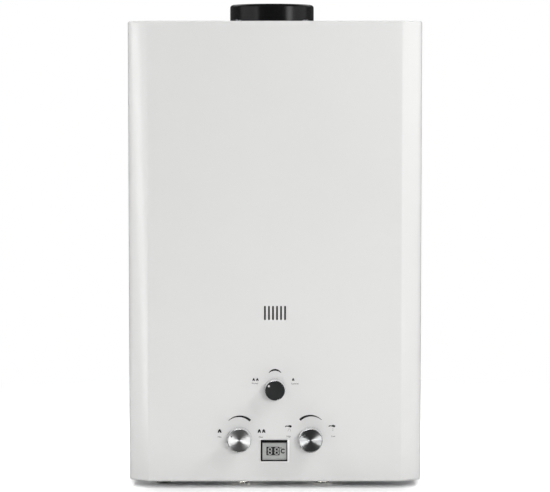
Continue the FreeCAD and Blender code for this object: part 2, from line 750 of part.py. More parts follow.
def screws():
    """Identical screws: two on each side of the cover, two at each end panel, four on the flue collar."""
    made = []
    for sign in (-1, 1):
        for i, z in enumerate(side_screw_levels()):
            name = f"side_screw_{sign + 1}{i}"
            made.append(screw(name, sign * half_width, -s.side_screw_setback, z, "X", sign))
    for i, x in enumerate(panel_screw_places()):
        made.append(screw(f"roof_screw_{i}", x, -s.side_screw_setback, panel_roof, "Z", 1))
        made.append(screw(f"floor_screw_{i}", x, -s.side_screw_setback, panel_floor, "Z", -1))
    for i, (x, y) in enumerate(flue_screw_places()):
        made.append(screw(f"flue_screw_{i}", flue_x + x, flue_y + y, panel_roof + s.flue_wall, "Z", 1))
    node(compound("case_screws", made), "case_screws")


def flue_screw_places():
    """The collar's four screws, as X and Y from the middle of the flue."""
    reach = (s.flue_radius + s.flue_screw_gap) * math.sqrt(0.5)
    return [(x * reach, y * reach) for x in (-1, 1) for y in (-1, 1)]


def flue_collar():
    """Black steel spigot for the exhaust duct, with a rolled rim and a screwed flange."""
    wall, rim = s.flue_wall, s.flue_height + s.sheet_thickness
    inner, mouth = s.flue_radius - wall, s.flue_radius - s.flue_lip
    flange = s.flue_radius + s.flue_flange_width
    body = turned("flue_collar", [
        (inner, 0), (flange, 0), (flange, wall), (s.flue_radius, wall),
        (s.flue_radius, rim), (mouth, rim), (mouth, rim - wall), (inner, rim - wall),
    ], "Z", flue_x, flue_y, panel_roof)

    def ring(radius, level):
        def test(edge):
            round_ = isinstance(edge.Curve, Part.Circle) and abs(edge.Curve.Radius - float(radius)) < near
            return round_ and abs(edge.BoundBox.ZMin - float(level)) < near and edge.BoundBox.ZLength < near
        return test

    fillet(body, s.flue_rim, ring(s.flue_radius, rim))
    fillet(body, s.flue_rim - wall, ring(inner, rim - wall))
    holes = new_sketch(body, "XY")
    for x, y in flue_screw_places():
        draw_circle(holes, x, y, s.screw_radius + s.screw_fit)
    pocket(body, holes, wall * 2, reverse=True)
    node(body, "flue_collar")


# Window and display.
def sight_window():
    """Heat-resistant glass behind the slots, in a steel frame clipped to the cover."""
    z = bottom + s.sight_level
    half_x, half_z = s.glass_width / 2, s.glass_height / 2
    glass_back = front_inside + s.glass_thickness
    frame_back = glass_back + s.sheet_thickness
    border = s.frame_border
    glass = box("sight_glass", -half_x, half_x, front_inside, glass_back, z - half_z, z + half_z)
    node(glass, "sight_glass")
    outer = box("frame_outer", -half_x - border, half_x + border, front_inside, frame_back,
                z - half_z - border, z + half_z + border)
    seat = box("frame_seat", -half_x, half_x, front_inside, glass_back, z - half_z, z + half_z)
    opening = box("frame_opening", -half_x + border, half_x - border, front_inside, frame_back + overrun,
                  z - half_z + border, z + half_z - border)
    node(cut("sight_frame", outer, [fuse("frame_hollow", [seat, opening])]), "sight_frame")


def bezel_middle():
    return -s.display_offset, bottom + s.display_level


def display():
    """Temperature display: bevelled bezel through the cover, glass panel, circuit board."""
    x, z = bezel_middle()
    half_x, half_z = s.bezel_width / 2, s.bezel_height / 2
    neck_x, neck_z = half_x - s.bezel_flange - s.bezel_fit, half_z - s.bezel_flange - s.bezel_fit
    view_x, view_z = half_x - s.bezel_border, half_z - s.bezel_border
    back = front + s.bezel_depth
    body = new_body("display_bezel")
    flange = new_sketch(body, "XZ", s.case_depth)
    draw_box(flange, x - half_x, x + half_x, z - half_z, z + half_z)
    pad(body, flange, s.bezel_proud)
    neck = new_sketch(body, "XZ", s.case_depth)
    draw_box(neck, x - neck_x, x + neck_x, z - neck_z, z + neck_z)
    pad(body, neck, s.bezel_depth, reverse=True)
    proud = float(front - s.bezel_proud)
    fillet(body, s.bezel_edge_radius, lambda e: abs(e.BoundBox.YMax - proud) < near)
    view = new_sketch(body, "XZ", s.case_depth)
    draw_box(view, x - view_x, x + view_x, z - view_z, z + view_z)
    pocket(body, view, s.bezel_depth)
    mouth = new_sketch(body, "XZ", s.case_depth + s.bezel_proud)
    draw_box(mouth, x - view_x, x + view_x, z - view_z, z + view_z)
    pocket(body, mouth, s.bezel_proud * 2)
    node(body, "display_bezel")
    lcd_front = front - s.bezel_proud + s.lcd_recess
    lcd_back = lcd_front + s.lcd_thickness
    lcd_x, lcd_z = view_x - s.lcd_fit, view_z - s.lcd_fit
    chip_x, chip_z = s.chip_width / 2, s.chip_height / 2
    glass = box("display_glass", x - lcd_x, x + lcd_x, lcd_front, lcd_back, z - lcd_z, z + lcd_z)
    board = box("board", x - neck_x, x + neck_x, back, back + s.board_thickness, z - neck_z, z + neck_z)
    chip = box("chip", x - chip_x, x + chip_x, lcd_back, back, z - chip_z, z + chip_z)
    node(fuse("display_module", [glass, board, chip]), "display_module")


# Knobs.
def knob(name, x, z, radius, shaft_radius, dot_inset, dot_angle):
    """A hollow knob on a hub, with a thin metal face let into its front and a dimple for its mark."""
    length, wall = s.knob_length, s.knob_wall
    seat = length - s.knob_face_thickness
    under = seat - wall
    tip_radius = radius - s.knob_draft
    face_radius = tip_radius - s.knob_face_border
    bore = shaft_radius + s.shaft_fit
    body = turned(name, [
        (bore, 0), (s.hub_radius, 0), (s.hub_radius, -under), (tip_radius - wall, -under),
        (radius - wall, 0), (radius, 0), (tip_radius, -length), (face_radius, -length),
        (face_radius, -seat), (0, -seat), (0, -s.shaft_reach), (bore, -s.shaft_reach),
    ], "Y", x, knob_back, z)

    def rim(edge):
        outer = isinstance(edge.Curve, Part.Circle) and edge.Curve.Radius > float(face_radius) + near
        return outer and abs(edge.BoundBox.YMin + float(length)) < near

    fillet(body, s.knob_edge_radius, rim)
    node(body, name)
    disc_radius = face_radius - s.shaft_fit
    disc = turned(name + "_face", [
        (0, -seat), (disc_radius, -seat), (disc_radius, -length), (0, -length),
    ], "Y", x, knob_back, z)
    dimple = new_sketch(disc, "XZ", length)
    reach, turn = radius - dot_inset, math.radians(float(dot_angle))
    draw_circle(dimple, reach * math.cos(turn), reach * math.sin(turn), s.dot_radius)
    pocket(disc, dimple, s.dot_depth)
    node(disc, name + "_face")


def knob_shaft(name, x, z, radius, bearing_front, bearing_length):
    """Control shaft from the knob's hub to its valve, tapered at the valve end."""
    start = knob_back - s.shaft_reach
    end = bearing_front + bearing_length - s.shaft_end_gap
    chamfer = s.shaft_chamfer
    body = turned(name, [
        (0, start), (radius - chamfer, start), (radius, start + chamfer),
        (radius, end - s.shaft_taper_length), (radius - s.shaft_taper, end), (0, end),
    ], "Y", x, 0, z)
    node(body, name)


# Valves.
def valve_casting(name, x0, x1, knob_x):
    """A cast block with a round boss for the control shaft."""
    block = box(name + "_block", x0, x1, valve_front, valve_back, valve_floor, valve_roof)
    block = rounded(name + "_round", block, s.casting_radius, runs_along("Z"))
    boss = rod(name + "_boss", s.boss_radius, "Y", knob_x, boss_front, knob_z, s.boss_length)
    return fuse(name + "_solid", [block, boss])


def shaft_bore(name, x, z, radius, start, length):
    return rod(name, radius + s.shaft_fit, "Y", x, start, z, length)


def gas_valve():
    """Gas half of the linked valve: inlet below, plug chamber, spring cap on the left."""
    right = gas_valve_right
    solid = valve_casting("gas_valve", gas_valve_left, right, gas_x)
    tools = [
        shaft_bore("gas_shaft_bore", gas_x, knob_z, s.shaft_radius, boss_front, s.shaft_bearing),
        rod("gas_rod_guide", s.rod_radius + s.rod_fit, "X", right - s.seat_land, link_y, link_z, s.seat_land),
        rod("gas_seat", s.seat_bore, "X", seat_x, link_y, link_z, s.seat_depth),
        rod("gas_chamber", s.chamber_radius, "X", gas_valve_left, link_y, link_z, seat_x - gas_valve_left),
        rod("gas_inlet_way", s.port_bore, "Z", gas_port_x, port_y, valve_floor, s.way_length),
    ]
    node(cut("gas_valve", solid, [fuse("gas_ways", tools)]), "gas_valve")
    cap_depth = seat_x - gas_valve_left - s.chamber_length
    stem = s.chamber_radius - s.cap_fit
    cap = turned("gas_valve_cap", [
        (0, -s.cap_proud), (s.cap_radius, -s.cap_proud), (s.cap_radius, 0), (stem, 0), (stem, cap_depth),
        (0, cap_depth),
    ], "X", gas_valve_left, link_y, link_z)
    node(cap, "gas_valve_cap")


def push_rod():
    """Rod that water pressure pushes to the left to open the gas plug, with the plug on its end."""
    plate_right = diaphragm_x() - s.diaphragm_thickness / 2
    plate_left = plate_right - s.plate_thickness
    plug_right = seat_x - s.plug_gap
    plug_left = plug_right - s.plug_thickness
    collar_right = gas_valve_right + s.link_gap - s.collar_inset
    collar_left = collar_right - s.collar_length
    body = turned("push_rod", [
        (0, plug_left), (s.plug_radius, plug_left), (s.plug_radius, plug_right), (s.rod_radius, plug_right),
        (s.rod_radius, collar_left), (s.collar_radius, collar_left), (s.collar_radius, collar_right),
        (s.rod_radius, collar_right), (s.rod_radius, plate_left), (s.plate_radius, plate_left),
        (s.plate_radius, plate_right), (0, plate_right),
    ], "X", 0, link_y, link_z)
    node(body, "push_rod")


def gas_spring():
    """Coil spring between the cap and the plug: a round wire carried along a helix."""
    start = seat_x - s.chamber_length + s.spring_wire
    length = seat_x - s.plug_gap - s.plug_thickness - s.spring_wire - start
    helix = part("Helix", "spring_path")
    bind(helix, "Height", length)
    bind(helix, "Pitch", length / s.spring_turn_count)
    bind(helix, "Radius", s.spring_radius)
    bind(helix, "SegmentLength", s.spring_segment)
    section = part("Circle", "spring_section")
    bind(section, "Radius", s.spring_wire / 2)
    place(section, s.spring_radius, rotation=TURN["Y"])
    spring = part("Sweep", "gas_spring")
    spring.Sections = [section]
    spring.Spine = (helix, [])
    spring.Solid = True
    spring.Frenet = True
    place(spring, start, link_y, link_z, TURN["X"])
    node(spring, "gas_spring")


def diaphragm_x():
    """The plane of the diaphragm, midway between the two housing halves."""
    return water_valve_left - s.cavity_depth - s.housing_wall - s.diaphragm_thickness / 2


def link_housing():
    """Rubber diaphragm, clamped between the water valve's own cup and a screwed cup on the gas side."""
    left = diaphragm_x() - s.diaphragm_thickness / 2
    right = left + s.diaphragm_thickness
    node(turned("diaphragm", [
        (0, left), (s.housing_radius, left), (s.housing_radius, right), (0, right),
    ], "X", 0, link_y, link_z), "diaphragm")
    wall_left = gas_valve_right + s.link_gap
    wall_right = wall_left + s.housing_wall
    guide = s.rod_radius + s.rod_fit
    shell = turned("gas_housing_shell", [
        (guide, wall_left), (s.housing_radius, wall_left), (s.housing_radius, left), (s.cavity_radius, left),
        (s.cavity_radius, wall_right), (guide, wall_right),
    ], "X", 0, link_y, link_z)
    posts = [rod(f"housing_post_{i}", s.post_radius, "X", gas_valve_right, y, link_z, s.link_gap)
             for i, y in enumerate((link_y - s.post_offset, link_y + s.post_offset))]
    node(fuse("gas_housing", [shell] + posts), "gas_housing")


def micro_switch():
    """Switch on top of the gas valve, whose lever hangs beside the rod's collar."""
    collar_left = gas_valve_right + s.link_gap - s.collar_inset - s.collar_length
    lever_right = collar_left - s.lever_fit
    lever_left = lever_right - s.lever_thickness
    pivot_x = (lever_left + lever_right) / 2
    pivot_z = valve_roof - s.lever_pivot_drop
    half = s.switch_width / 2
    case_right = pivot_x + s.pivot_eye
    case = box("switch_case", case_right - s.switch_length, case_right, link_y - half, link_y + half,
               valve_roof, valve_roof + s.switch_height)
    case = rounded("switch_round", case, s.switch_corner, runs_along("Z"))
    inner = s.lever_width / 2 + s.lever_fit
    outer = inner + s.ear_thickness
    ear_spans = ((link_y - outer, link_y - inner), (link_y + inner, link_y + outer))
    ears = [box(f"switch_ear_{i}", pivot_x - s.pivot_eye, pivot_x + s.pivot_eye, y0, y1,
                pivot_z - s.pivot_eye, valve_roof)
            for i, (y0, y1) in enumerate(ear_spans)]
    pin = rod("switch_pin", s.pivot_radius, "Y", pivot_x, link_y - outer, pivot_z, outer * 2)
    node(fuse("micro_switch", [case, pin] + ears), "micro_switch")
    lever_half = s.lever_width / 2
    eye = rod("lever_eye", s.pivot_eye, "Y", pivot_x, link_y - lever_half, pivot_z, s.lever_width)
    blade = box("lever_blade", lever_left, lever_right, link_y - lever_half, link_y + lever_half,
                link_z + s.collar_radius - s.lever_overlap, pivot_z)
    bore = rod("lever_bore", s.pivot_radius + s.rod_fit, "Y", pivot_x, link_y - s.lever_width, pivot_z,
               s.lever_width * 2)
    node(cut("switch_lever", fuse("lever_solid", [eye, blade]), [bore]), "switch_lever")


def water_valve():
    """Water half of the linked valve, with the inlet and the drain below and the outlet on top."""
    solid = valve_casting("water_valve", water_valve_left, water_valve_right, water_x)
    outlet_x, outlet_y = coil_start()
    outlet = rod("water_outlet_boss", s.tube_radius + s.outlet_boss_wall, "Z", outlet_x, outlet_y, valve_roof,
                 s.outlet_boss_height)
    middle = diaphragm_x() + s.diaphragm_thickness / 2
    cup = rod("water_cup", s.housing_radius, "X", middle, link_y, link_z, water_valve_left - middle)
    tools = [
        rod("water_cavity", s.cavity_radius, "X", middle, link_y, link_z, s.cavity_depth),
        shaft_bore("water_shaft_bore", water_x, knob_z, s.shaft_radius, boss_front, s.shaft_bearing),
        rod("water_link_way", s.seat_bore, "X", middle, link_y, link_z, s.way_length),
        rod("water_inlet_way", s.port_bore, "Z", cold_port_x, port_y, valve_floor, s.way_length),
        rod("drain_way", s.drain_stem, "Z", drain_x, drain_y, valve_floor, s.drain_way_length),
    ]
    body = fuse("water_valve_all", [solid, outlet, cup])
    node(cut("water_valve", body, [fuse("water_ways", tools)]), "water_valve")


def port(name, x):
    """A threaded port that hangs below the case, held by a flange above the bottom panel."""
    flange_floor = valve_floor - s.port_flange_height
    flange = s.port_radius + s.port_flange_width
    chamfer = s.port_chamfer
    body = turned(name, [
        (s.port_bore, port_end), (s.port_radius - chamfer, port_end), (s.port_radius, port_end + chamfer),
        (s.port_radius, nut_floor), (port_neck, nut_floor), (port_neck, flange_floor), (flange, flange_floor),
        (flange, valve_floor), (s.port_bore, valve_floor),
    ], "Z", x, port_y, 0)
    node(body, name)


def ports():
    """Gas, cold and hot ports with their lock nuts, the inlet filter and the drain plug."""
    port("gas_inlet", gas_port_x)
    port("cold_inlet", cold_port_x)
    port("hot_outlet", hot_port_x)
    nuts = []
    half_flats = s.port_radius + s.nut_wall
    for i, x in enumerate((gas_port_x, cold_port_x, hot_port_x)):
        prism = part("Prism", f"nut_blank_{i}")
        prism.Polygon = 6
        bind(prism, "Circumradius", half_flats * 2 / math.sqrt(3))
        bind(prism, "Height", s.nut_height)
        place(prism, x, port_y, nut_floor)
        dome = part("Cone", f"nut_dome_{i}")
        bind(dome, "Radius1", half_flats)
        bind(dome, "Radius2", half_flats + s.nut_chamfer_run)
        bind(dome, "Height", s.nut_height)
        place(dome, x, port_y, nut_floor)
        shaped = part("Common", f"nut_shape_{i}")
        shaped.Base, shaped.Tool = prism, dome
        bore = rod(f"nut_bore_{i}", port_neck + s.shaft_fit, "Z", x, port_y, nut_floor - overrun,
                   s.nut_height + overrun * 2)
        nuts.append(cut(f"nut_{i}", shaped, [bore]))
    node(compound("lock_nuts", nuts), "lock_nuts")
    radius = s.port_bore - s.filter_fit
    inner = radius - s.filter_wall
    filter_floor = port_end + s.filter_recess
    filter_roof = filter_floor + s.filter_height
    node(turned("inlet_filter", [
        (0, filter_roof - s.filter_wall), (inner, filter_roof - s.filter_wall), (inner, filter_floor),
        (radius, filter_floor), (radius, filter_roof), (0, filter_roof),
    ], "Z", cold_port_x, port_y, 0), "inlet_filter")
    drain_end = bottom - s.drain_drop
    stem, stem_top = s.drain_stem - s.shaft_fit, valve_floor + s.drain_stem_length
    chamfer = s.port_chamfer
    node(turned("drain_plug", [
        (0, drain_end), (s.drain_radius - chamfer, drain_end), (s.drain_radius, drain_end + chamfer),
        (s.drain_radius, panel_floor + s.drain_collar), (s.drain_shoulder, valve_floor), (stem, valve_floor),
        (stem, stem_top), (0, stem_top),
    ], "Z", drain_x, drain_y, 0), "drain_plug")


# Gas train.
def gas_train():
    """Solenoid, transfer pipe, sector valve, manifold and nozzles."""
    start_x = gas_valve_left + s.solenoid_inset
    coil_roof = s.solenoid_height
    cap_roof = coil_roof + s.solenoid_cap_height
    node(turned("gas_solenoid", [
        (0, 0), (s.solenoid_neck, 0), (s.solenoid_neck, s.solenoid_neck_height),
        (s.solenoid_radius, s.solenoid_neck_height), (s.solenoid_radius, coil_roof),
        (s.solenoid_cap, coil_roof), (s.solenoid_cap, cap_roof), (0, cap_roof),
    ], "Z", start_x, port_y, valve_roof), "gas_solenoid")
    sector_left, sector_right = -s.sector_width / 2, s.sector_width / 2
    mid_y = (sector_front + exchanger_front) / 2
    start_y = valve_front + s.transfer_inset
    node(pipe("transfer_pipe", [
        (start_x, start_y, valve_roof), (start_x, start_y, season_z), (start_x, mid_y, season_z),
        (sector_left, mid_y, season_z),
    ], s.transfer_radius, s.transfer_bend, s.transfer_radius - s.tube_wall), "transfer_pipe")
    block = box("sector_block", sector_left, sector_right, sector_front, sector_front + s.sector_depth,
                manifold_floor - s.sector_height, manifold_floor)
    block = rounded("sector_round", block, s.manifold_radius, runs_along("Y"))
    bore = shaft_bore("sector_bore", 0, season_z, s.season_shaft_radius, sector_front, s.season_bearing)
    node(cut("sector_valve", block, [bore]), "sector_valve")
    half = exchanger_half - s.manifold_inset
    bar = box("manifold_bar", -half, half, sector_front, exchanger_front, manifold_floor, manifold_roof)
    node(rounded("gas_manifold", bar, s.manifold_radius, runs_along("X")), "gas_manifold")
    nozzles = [rod(f"nozzle_{i}", s.nozzle_radius, "Y", blade_x(i), exchanger_front, nozzle_z, s.nozzle_reach)
               for i in range(s.count("blade_count"))]
    node(compound("gas_nozzles", nozzles), "gas_nozzles")


def blade_x(i):
    """The middle plane of burner blade i."""
    count = s.count("blade_count")
    return (exchanger_half - s.blade_side_gap) * 2 / count * (i - (count - 1) / 2)


def burner_tray():
    """Steel tray with ledges for the blades and a hole for each nozzle."""
    t, ledge = s.sheet_thickness, s.ledge_width
    half, inner = exchanger_half, exchanger_half - s.sheet_thickness
    outer = box("tray_outer", -half, half, exchanger_front, exchanger_back, burner_floor, burner_roof)
    inside = box("tray_inside", -inner, inner, exchanger_front + t, exchanger_back - t, burner_floor + t,
                 burner_roof + overrun)
    mouth = box("tray_mouth", -half + ledge, half - ledge, exchanger_front + ledge, exchanger_back - ledge,
                burner_floor - overrun, burner_floor + t * 2)
    ways = [rod(f"nozzle_way_{i}", s.nozzle_hole, "Y", blade_x(i), exchanger_front - overrun, nozzle_z,
                t + overrun * 2) for i in range(s.count("blade_count"))]
    node(cut("burner_tray", outer, [fuse("tray_ways", [inside, mouth] + ways)]), "burner_tray")


def burner_blades():
    """Upright hollow blades in a row, each with a mouth for its nozzle and slits for the flames."""
    blade_front, blade_back = exchanger_front + s.blade_inset, exchanger_back - s.blade_inset
    floor_, roof = burner_floor + s.sheet_thickness, burner_roof - s.blade_head
    half, wall, slit = s.blade_thickness / 2, s.blade_wall, s.flame_port / 2
    count = s.count("flame_port_count")
    pitch = (exchanger_depth - s.flame_margin * 2) / (count - 1)
    slits = []
    for i in range(count):
        y = flue_y + pitch * (i - (count - 1) / 2)
        slits.append(box(f"flame_port_{i}", -half - overrun, half + overrun, y - slit, y + slit,
                         roof - s.flame_port_depth, roof + overrun))
    skin = box("blade_skin", -half, half, blade_front, blade_back, floor_, roof)
    inside = box("blade_inside", -half + wall, half - wall, blade_front + wall, blade_back - wall,
                 floor_ + wall, roof - wall)
    way = rod("blade_mouth", s.blade_mouth, "Y", 0, blade_front, nozzle_z, s.blade_mouth_depth)
    hollow_blade = cut("blade_hollow", skin, [fuse("blade_way", [inside, way])])
    blade = cut("blade", hollow_blade, [compound("flame_ports", slits)])
    row = [copy_of(blade, f"blade_{i}", blade_x(i)) for i in range(s.count("blade_count"))]
    node(compound("burner_blades", row), "burner_blades")


# Heat exchanger.
def tube_rows():
    """The places along Y of the straight tubes in the fin block, from the back to the front."""
    count = s.count("tube_row_count")
    pitch = (exchanger_depth - s.tube_margin * 2) / (count - 1)
    return [flue_y - pitch * (i - (count - 1) / 2) for i in range(count)]


def exchanger_shell():
    """Copper chamber over the burner, with a window, tube holes and electrode holes."""
    t, half = s.exchanger_sheet, exchanger_half
    outer = box("shell_outer", -half, half, exchanger_front, exchanger_back, burner_roof, exchanger_roof)
    outer = rounded("shell_round", outer, shell_radius, runs_along("Z"))
    inner = box("shell_inner", -half + t, half - t, exchanger_front + t, exchanger_back - t,
                burner_roof - overrun, exchanger_roof + overrun)
    inner = rounded("shell_inner_round", inner, shell_radius - t, runs_along("Z"))
    half_x, half_z, z = s.window_width / 2, s.window_height / 2, bottom + s.sight_level
    window = box("shell_window", -half_x, half_x, exchanger_front - overrun, exchanger_front + t * 2,
                 z - half_z, z + half_z)
    ways = [rod(f"tube_way_{i}", s.tube_radius + s.rod_fit, "X", -half - overrun, y, fin_z,
                half * 2 + overrun * 2) for i, y in enumerate(tube_rows())]
    ways += [rod(f"electrode_way_{i}", s.insulator_radius + s.rod_fit, "Y", x, exchanger_front - overrun,
                 bottom + s.electrode_level, t + overrun * 2)
             for i, x in enumerate((s.electrode_offset, -s.sensor_offset))]
    node(cut("exchanger_shell", outer, [fuse("shell_hollow", [inner, window] + ways)]), "exchanger_shell")


def fin_block():
    """Thin copper plates side by side, pierced by the tubes."""
    count = s.count("fin_count")
    pitch = (exchanger_half - s.fin_margin) * 2 / (count - 1)
    gap = s.exchanger_sheet + s.fin_clearance
    half_x, half_z = s.fin_thickness / 2, s.fin_height / 2
    fins = []
    for i in range(count):
        x = pitch * (i - (count - 1) / 2)
        fins.append(box(f"fin_{i}", x - half_x, x + half_x, exchanger_front + gap, exchanger_back - gap,
                        fin_z - half_z, fin_z + half_z))
    hole_radius = s.tube_radius + s.rod_fit
    holes = [rod(f"fin_hole_{i}", hole_radius, "X", -exchanger_half, y, fin_z, exchanger_half * 2)
             for i, y in enumerate(tube_rows())]
    node(cut("fin_block", compound("fin_row", fins), holes), "fin_block")


def fin_tubes():
    """One tube that runs to and fro through the fins."""
    rows = [float(y) for y in tube_rows()]
    reach = float(exchanger_half + s.tube_reach)
    tail = float(exchanger_half + s.tube_tail)
    z = float(fin_z)
    edges = []
    side = 1
    start = Vector(tail, rows[0], z)
    for y, after in zip(rows, rows[1:]):
        end = Vector(-side * reach, y, z)
        turn = Vector(end.x - side * (y - after) / 2, (y + after) / 2, z)
        edges.append(Part.LineSegment(start, end).toShape())
        start = Vector(end.x, after, z)
        edges.append(Part.Arc(end, turn, start).toShape())
        side = -side
    edges.append(Part.LineSegment(start, Vector(-side * tail, rows[-1], z)).toShape())
    made = part("Feature", "fin_tubes")
    made.Shape = swept(Part.Wire(edges), s.tube_radius, s.tube_radius - s.tube_wall)
    node(made, "fin_tubes")


def coil_start():
    """The water valve's outlet, where the feed pipe starts."""
    return water_x + s.outlet_shift, port_y - s.outlet_depth


def water_pipes():
    """Feed pipe that winds twice round the chamber, and the pipe that takes hot water down."""
    gap = s.tube_radius + s.tube_gap
    side, back, ahead = exchanger_half + gap, exchanger_back + gap, exchanger_front - gap
    start_x, start_y = coil_start()
    riser, low = exchanger_half + s.riser_gap, bottom + s.riser_level
    one = bottom + s.turn_level
    two = one + s.turn_rise
    rows = tube_rows()
    tail = exchanger_half + s.tube_tail
    route = [
        (start_x, start_y, valve_roof + s.outlet_boss_height), (start_x, start_y, low), (riser, start_y, low),
        (riser, start_y, one - s.tube_bend),
    ]
    for level in (one, two):
        long_rise, short_rise = s.turn_slope, s.turn_slope / 2
        route += [
            (side, back, level), (-side, back, level + long_rise),
            (-side, ahead, level + long_rise + short_rise), (side, ahead, level + long_rise * 2 + short_rise),
        ]
    route += [(riser, rows[-2], (two + fin_z) / 2), (riser, rows[0], fin_z), (tail, rows[0], fin_z)]
    node(pipe("coil_pipe", route, s.tube_radius, s.tube_bend, s.tube_radius - s.tube_wall), "coil_pipe")
    down = [
        (-tail, rows[-1], fin_z), (hot_port_x, rows[-1], fin_z), (hot_port_x, rows[-1], low),
        (hot_port_x, port_y, low), (hot_port_x, port_y, valve_floor),
    ]
    node(pipe("hot_pipe", down, s.tube_radius, s.tube_bend, s.tube_radius - s.tube_wall), "hot_pipe")


def brackets():
    """Strips that hold the heat exchanger, the burner and the valves off the back panel."""
    half_thick, half = s.bracket_thickness / 2, s.bracket_width / 2
    back = -s.sheet_thickness
    reach = exchanger_half - s.bracket_inset
    made = []
    for i, z in enumerate((burner_floor + half, exchanger_roof - s.bracket_width)):
        for j, x in enumerate((-reach, reach)):
            made.append(box(f"exchanger_bracket_{i}{j}", x - half, x + half, exchanger_back, back,
                            z - half_thick, z + half_thick))
    for i, x in enumerate((gas_x, water_x)):
        made.append(box(f"valve_bracket_{i}", x - s.bracket_width, x + s.bracket_width, valve_back, back,
                        link_z - half_thick, link_z + half_thick))
    node(compound("brackets", made), "brackets")


def draft_hood():
    """Folded hood that gathers the exhaust into a round neck inside the collar."""
    body = new_body("draft_hood")
    low = new_sketch(body, "XY")
    draw_box(low, -exchanger_half, exchanger_half, -exchanger_depth / 2, exchanger_depth / 2)
    high = new_sketch(body, "XY", s.hood_rise)
    half_x, half_y = neck_radius + s.hood_shoulder, neck_radius + s.hood_lip
    draw_box(high, flue_x - half_x, flue_x + half_x, -half_y, half_y)
    loft = body.newObject("PartDesign::AdditiveLoft", "hood_loft")
    loft.Profile = low
    loft.Sections = [high]
    loft.Ruled = True
    neck_length = s.exchanger_head_gap + s.neck_reach - s.hood_rise
    circle = new_sketch(body, "XY", s.hood_rise)
    draw_circle(circle, flue_x, 0, neck_radius)
    pad(body, circle, neck_length)
    place(body, 0, flue_y, exchanger_roof)
    neck_top = float(s.hood_rise + neck_length)
    hollow(body, s.hood_sheet, lambda f: flat_at("Z", 0)(f) or flat_at("Z", neck_top)(f))
    node(body, "draft_hood")


# Ignition, sensors and control.
def ignition():
    """Spark electrode and flame sensor: ceramic sleeves with bent metal rods."""
    z = bottom + s.electrode_level
    sleeves, wires = [], []
    start = exchanger_front - s.insulator_proud
    tip = start + s.electrode_reach
    for i, x in enumerate((s.electrode_offset, -s.sensor_offset)):
        tube = rod(f"sleeve_{i}", s.insulator_radius, "Y", x, start, z, s.insulator_length)
        bore = rod(f"sleeve_bore_{i}", s.electrode_radius + s.rod_fit, "Y", x, start - overrun, z,
                   s.insulator_length + overrun * 2)
        sleeves.append(cut(f"sleeve_cut_{i}", tube, [bore]))
        wires.append(pipe(f"electrode_{i}", [
            (x, start, z), (x, tip, z), (x, tip + s.electrode_hook, z - s.electrode_dip),
        ], s.electrode_radius, s.electrode_bend))
    node(compound("electrodes", sleeves + wires), "electrodes")


def sensors():
    """Overheat cut-out on the chamber, and the hot water probe clipped to its pipe."""
    cap = s.cutout_radius - s.cutout_flange
    node(turned("overheat_cutout", [
        (0, 0), (s.cutout_radius, 0), (s.cutout_radius, -s.cutout_flange_height),
        (cap, -s.cutout_flange_height), (cap, -s.cutout_height), (0, -s.cutout_height),
    ], "Y", 0, exchanger_front, exchanger_roof - s.cutout_drop), "overheat_cutout")
    x, level = hot_port_x, bottom + s.clip_level
    outside = s.tube_radius + s.clip_thickness
    ring = rod("clip_ring", outside, "Z", x, port_y, level, s.clip_width)
    hole = rod("clip_hole", s.tube_radius + s.rod_fit, "Z", x, port_y, level - overrun,
               s.clip_width + overrun * 2)
    band = cut("clip_band", ring, [hole])
    probe = rod("clip_probe", s.probe_radius, "Z", x + outside + s.probe_radius - s.probe_lap, port_y, level,
                s.probe_length)
    node(fuse("water_probe", [band, probe]), "water_probe")


def control_box():
    """Moulded box of the spark and safety controller, fixed to the back panel."""
    y1 = -s.sheet_thickness
    y0 = y1 - s.control_depth
    z0 = bottom + s.control_level
    z1 = z0 + s.control_height
    block = box("control_block", control_left, control_right, y0, y1, z0, z1)
    block = rounded("control_round", block, s.control_radius, runs_along("Y"))
    inset = s.lid_inset
    lid = box("control_lid", control_left + inset, control_right - inset, y0 - s.lid_height, y0, z0 + inset,
              z1 - inset)
    node(fuse("control_box", [block, lid]), "control_box")


# Battery box.
def battery_mouth():
    """The open bottom of the battery box, as low and high X and Y."""
    half_x = s.cell_radius * 2 + s.cell_fit / 2 + s.cell_fit
    half_y = s.cell_radius + s.cell_fit
    return battery_x - half_x, battery_x + half_x, battery_y - half_y, battery_y + half_y


def battery_roof():
    """The inside of the battery box's top wall."""
    return panel_floor + s.cell_length + s.cell_button_height + s.battery_headroom


def door_hinge_y():
    return battery_mouth()[3] + s.battery_wall + s.door_hinge_radius


def door_hinge_z():
    return panel_floor - s.door_thickness / 2


def catch_box(name, extra):
    """The pocket in the front wall of the box that takes the door's catch."""
    half = s.catch_width / 2 + extra
    face = battery_mouth()[2]
    return box(name, battery_x - half, battery_x + half, face - s.battery_wall / 2, face + s.battery_wall,
               panel_floor, panel_floor + s.catch_height + extra)


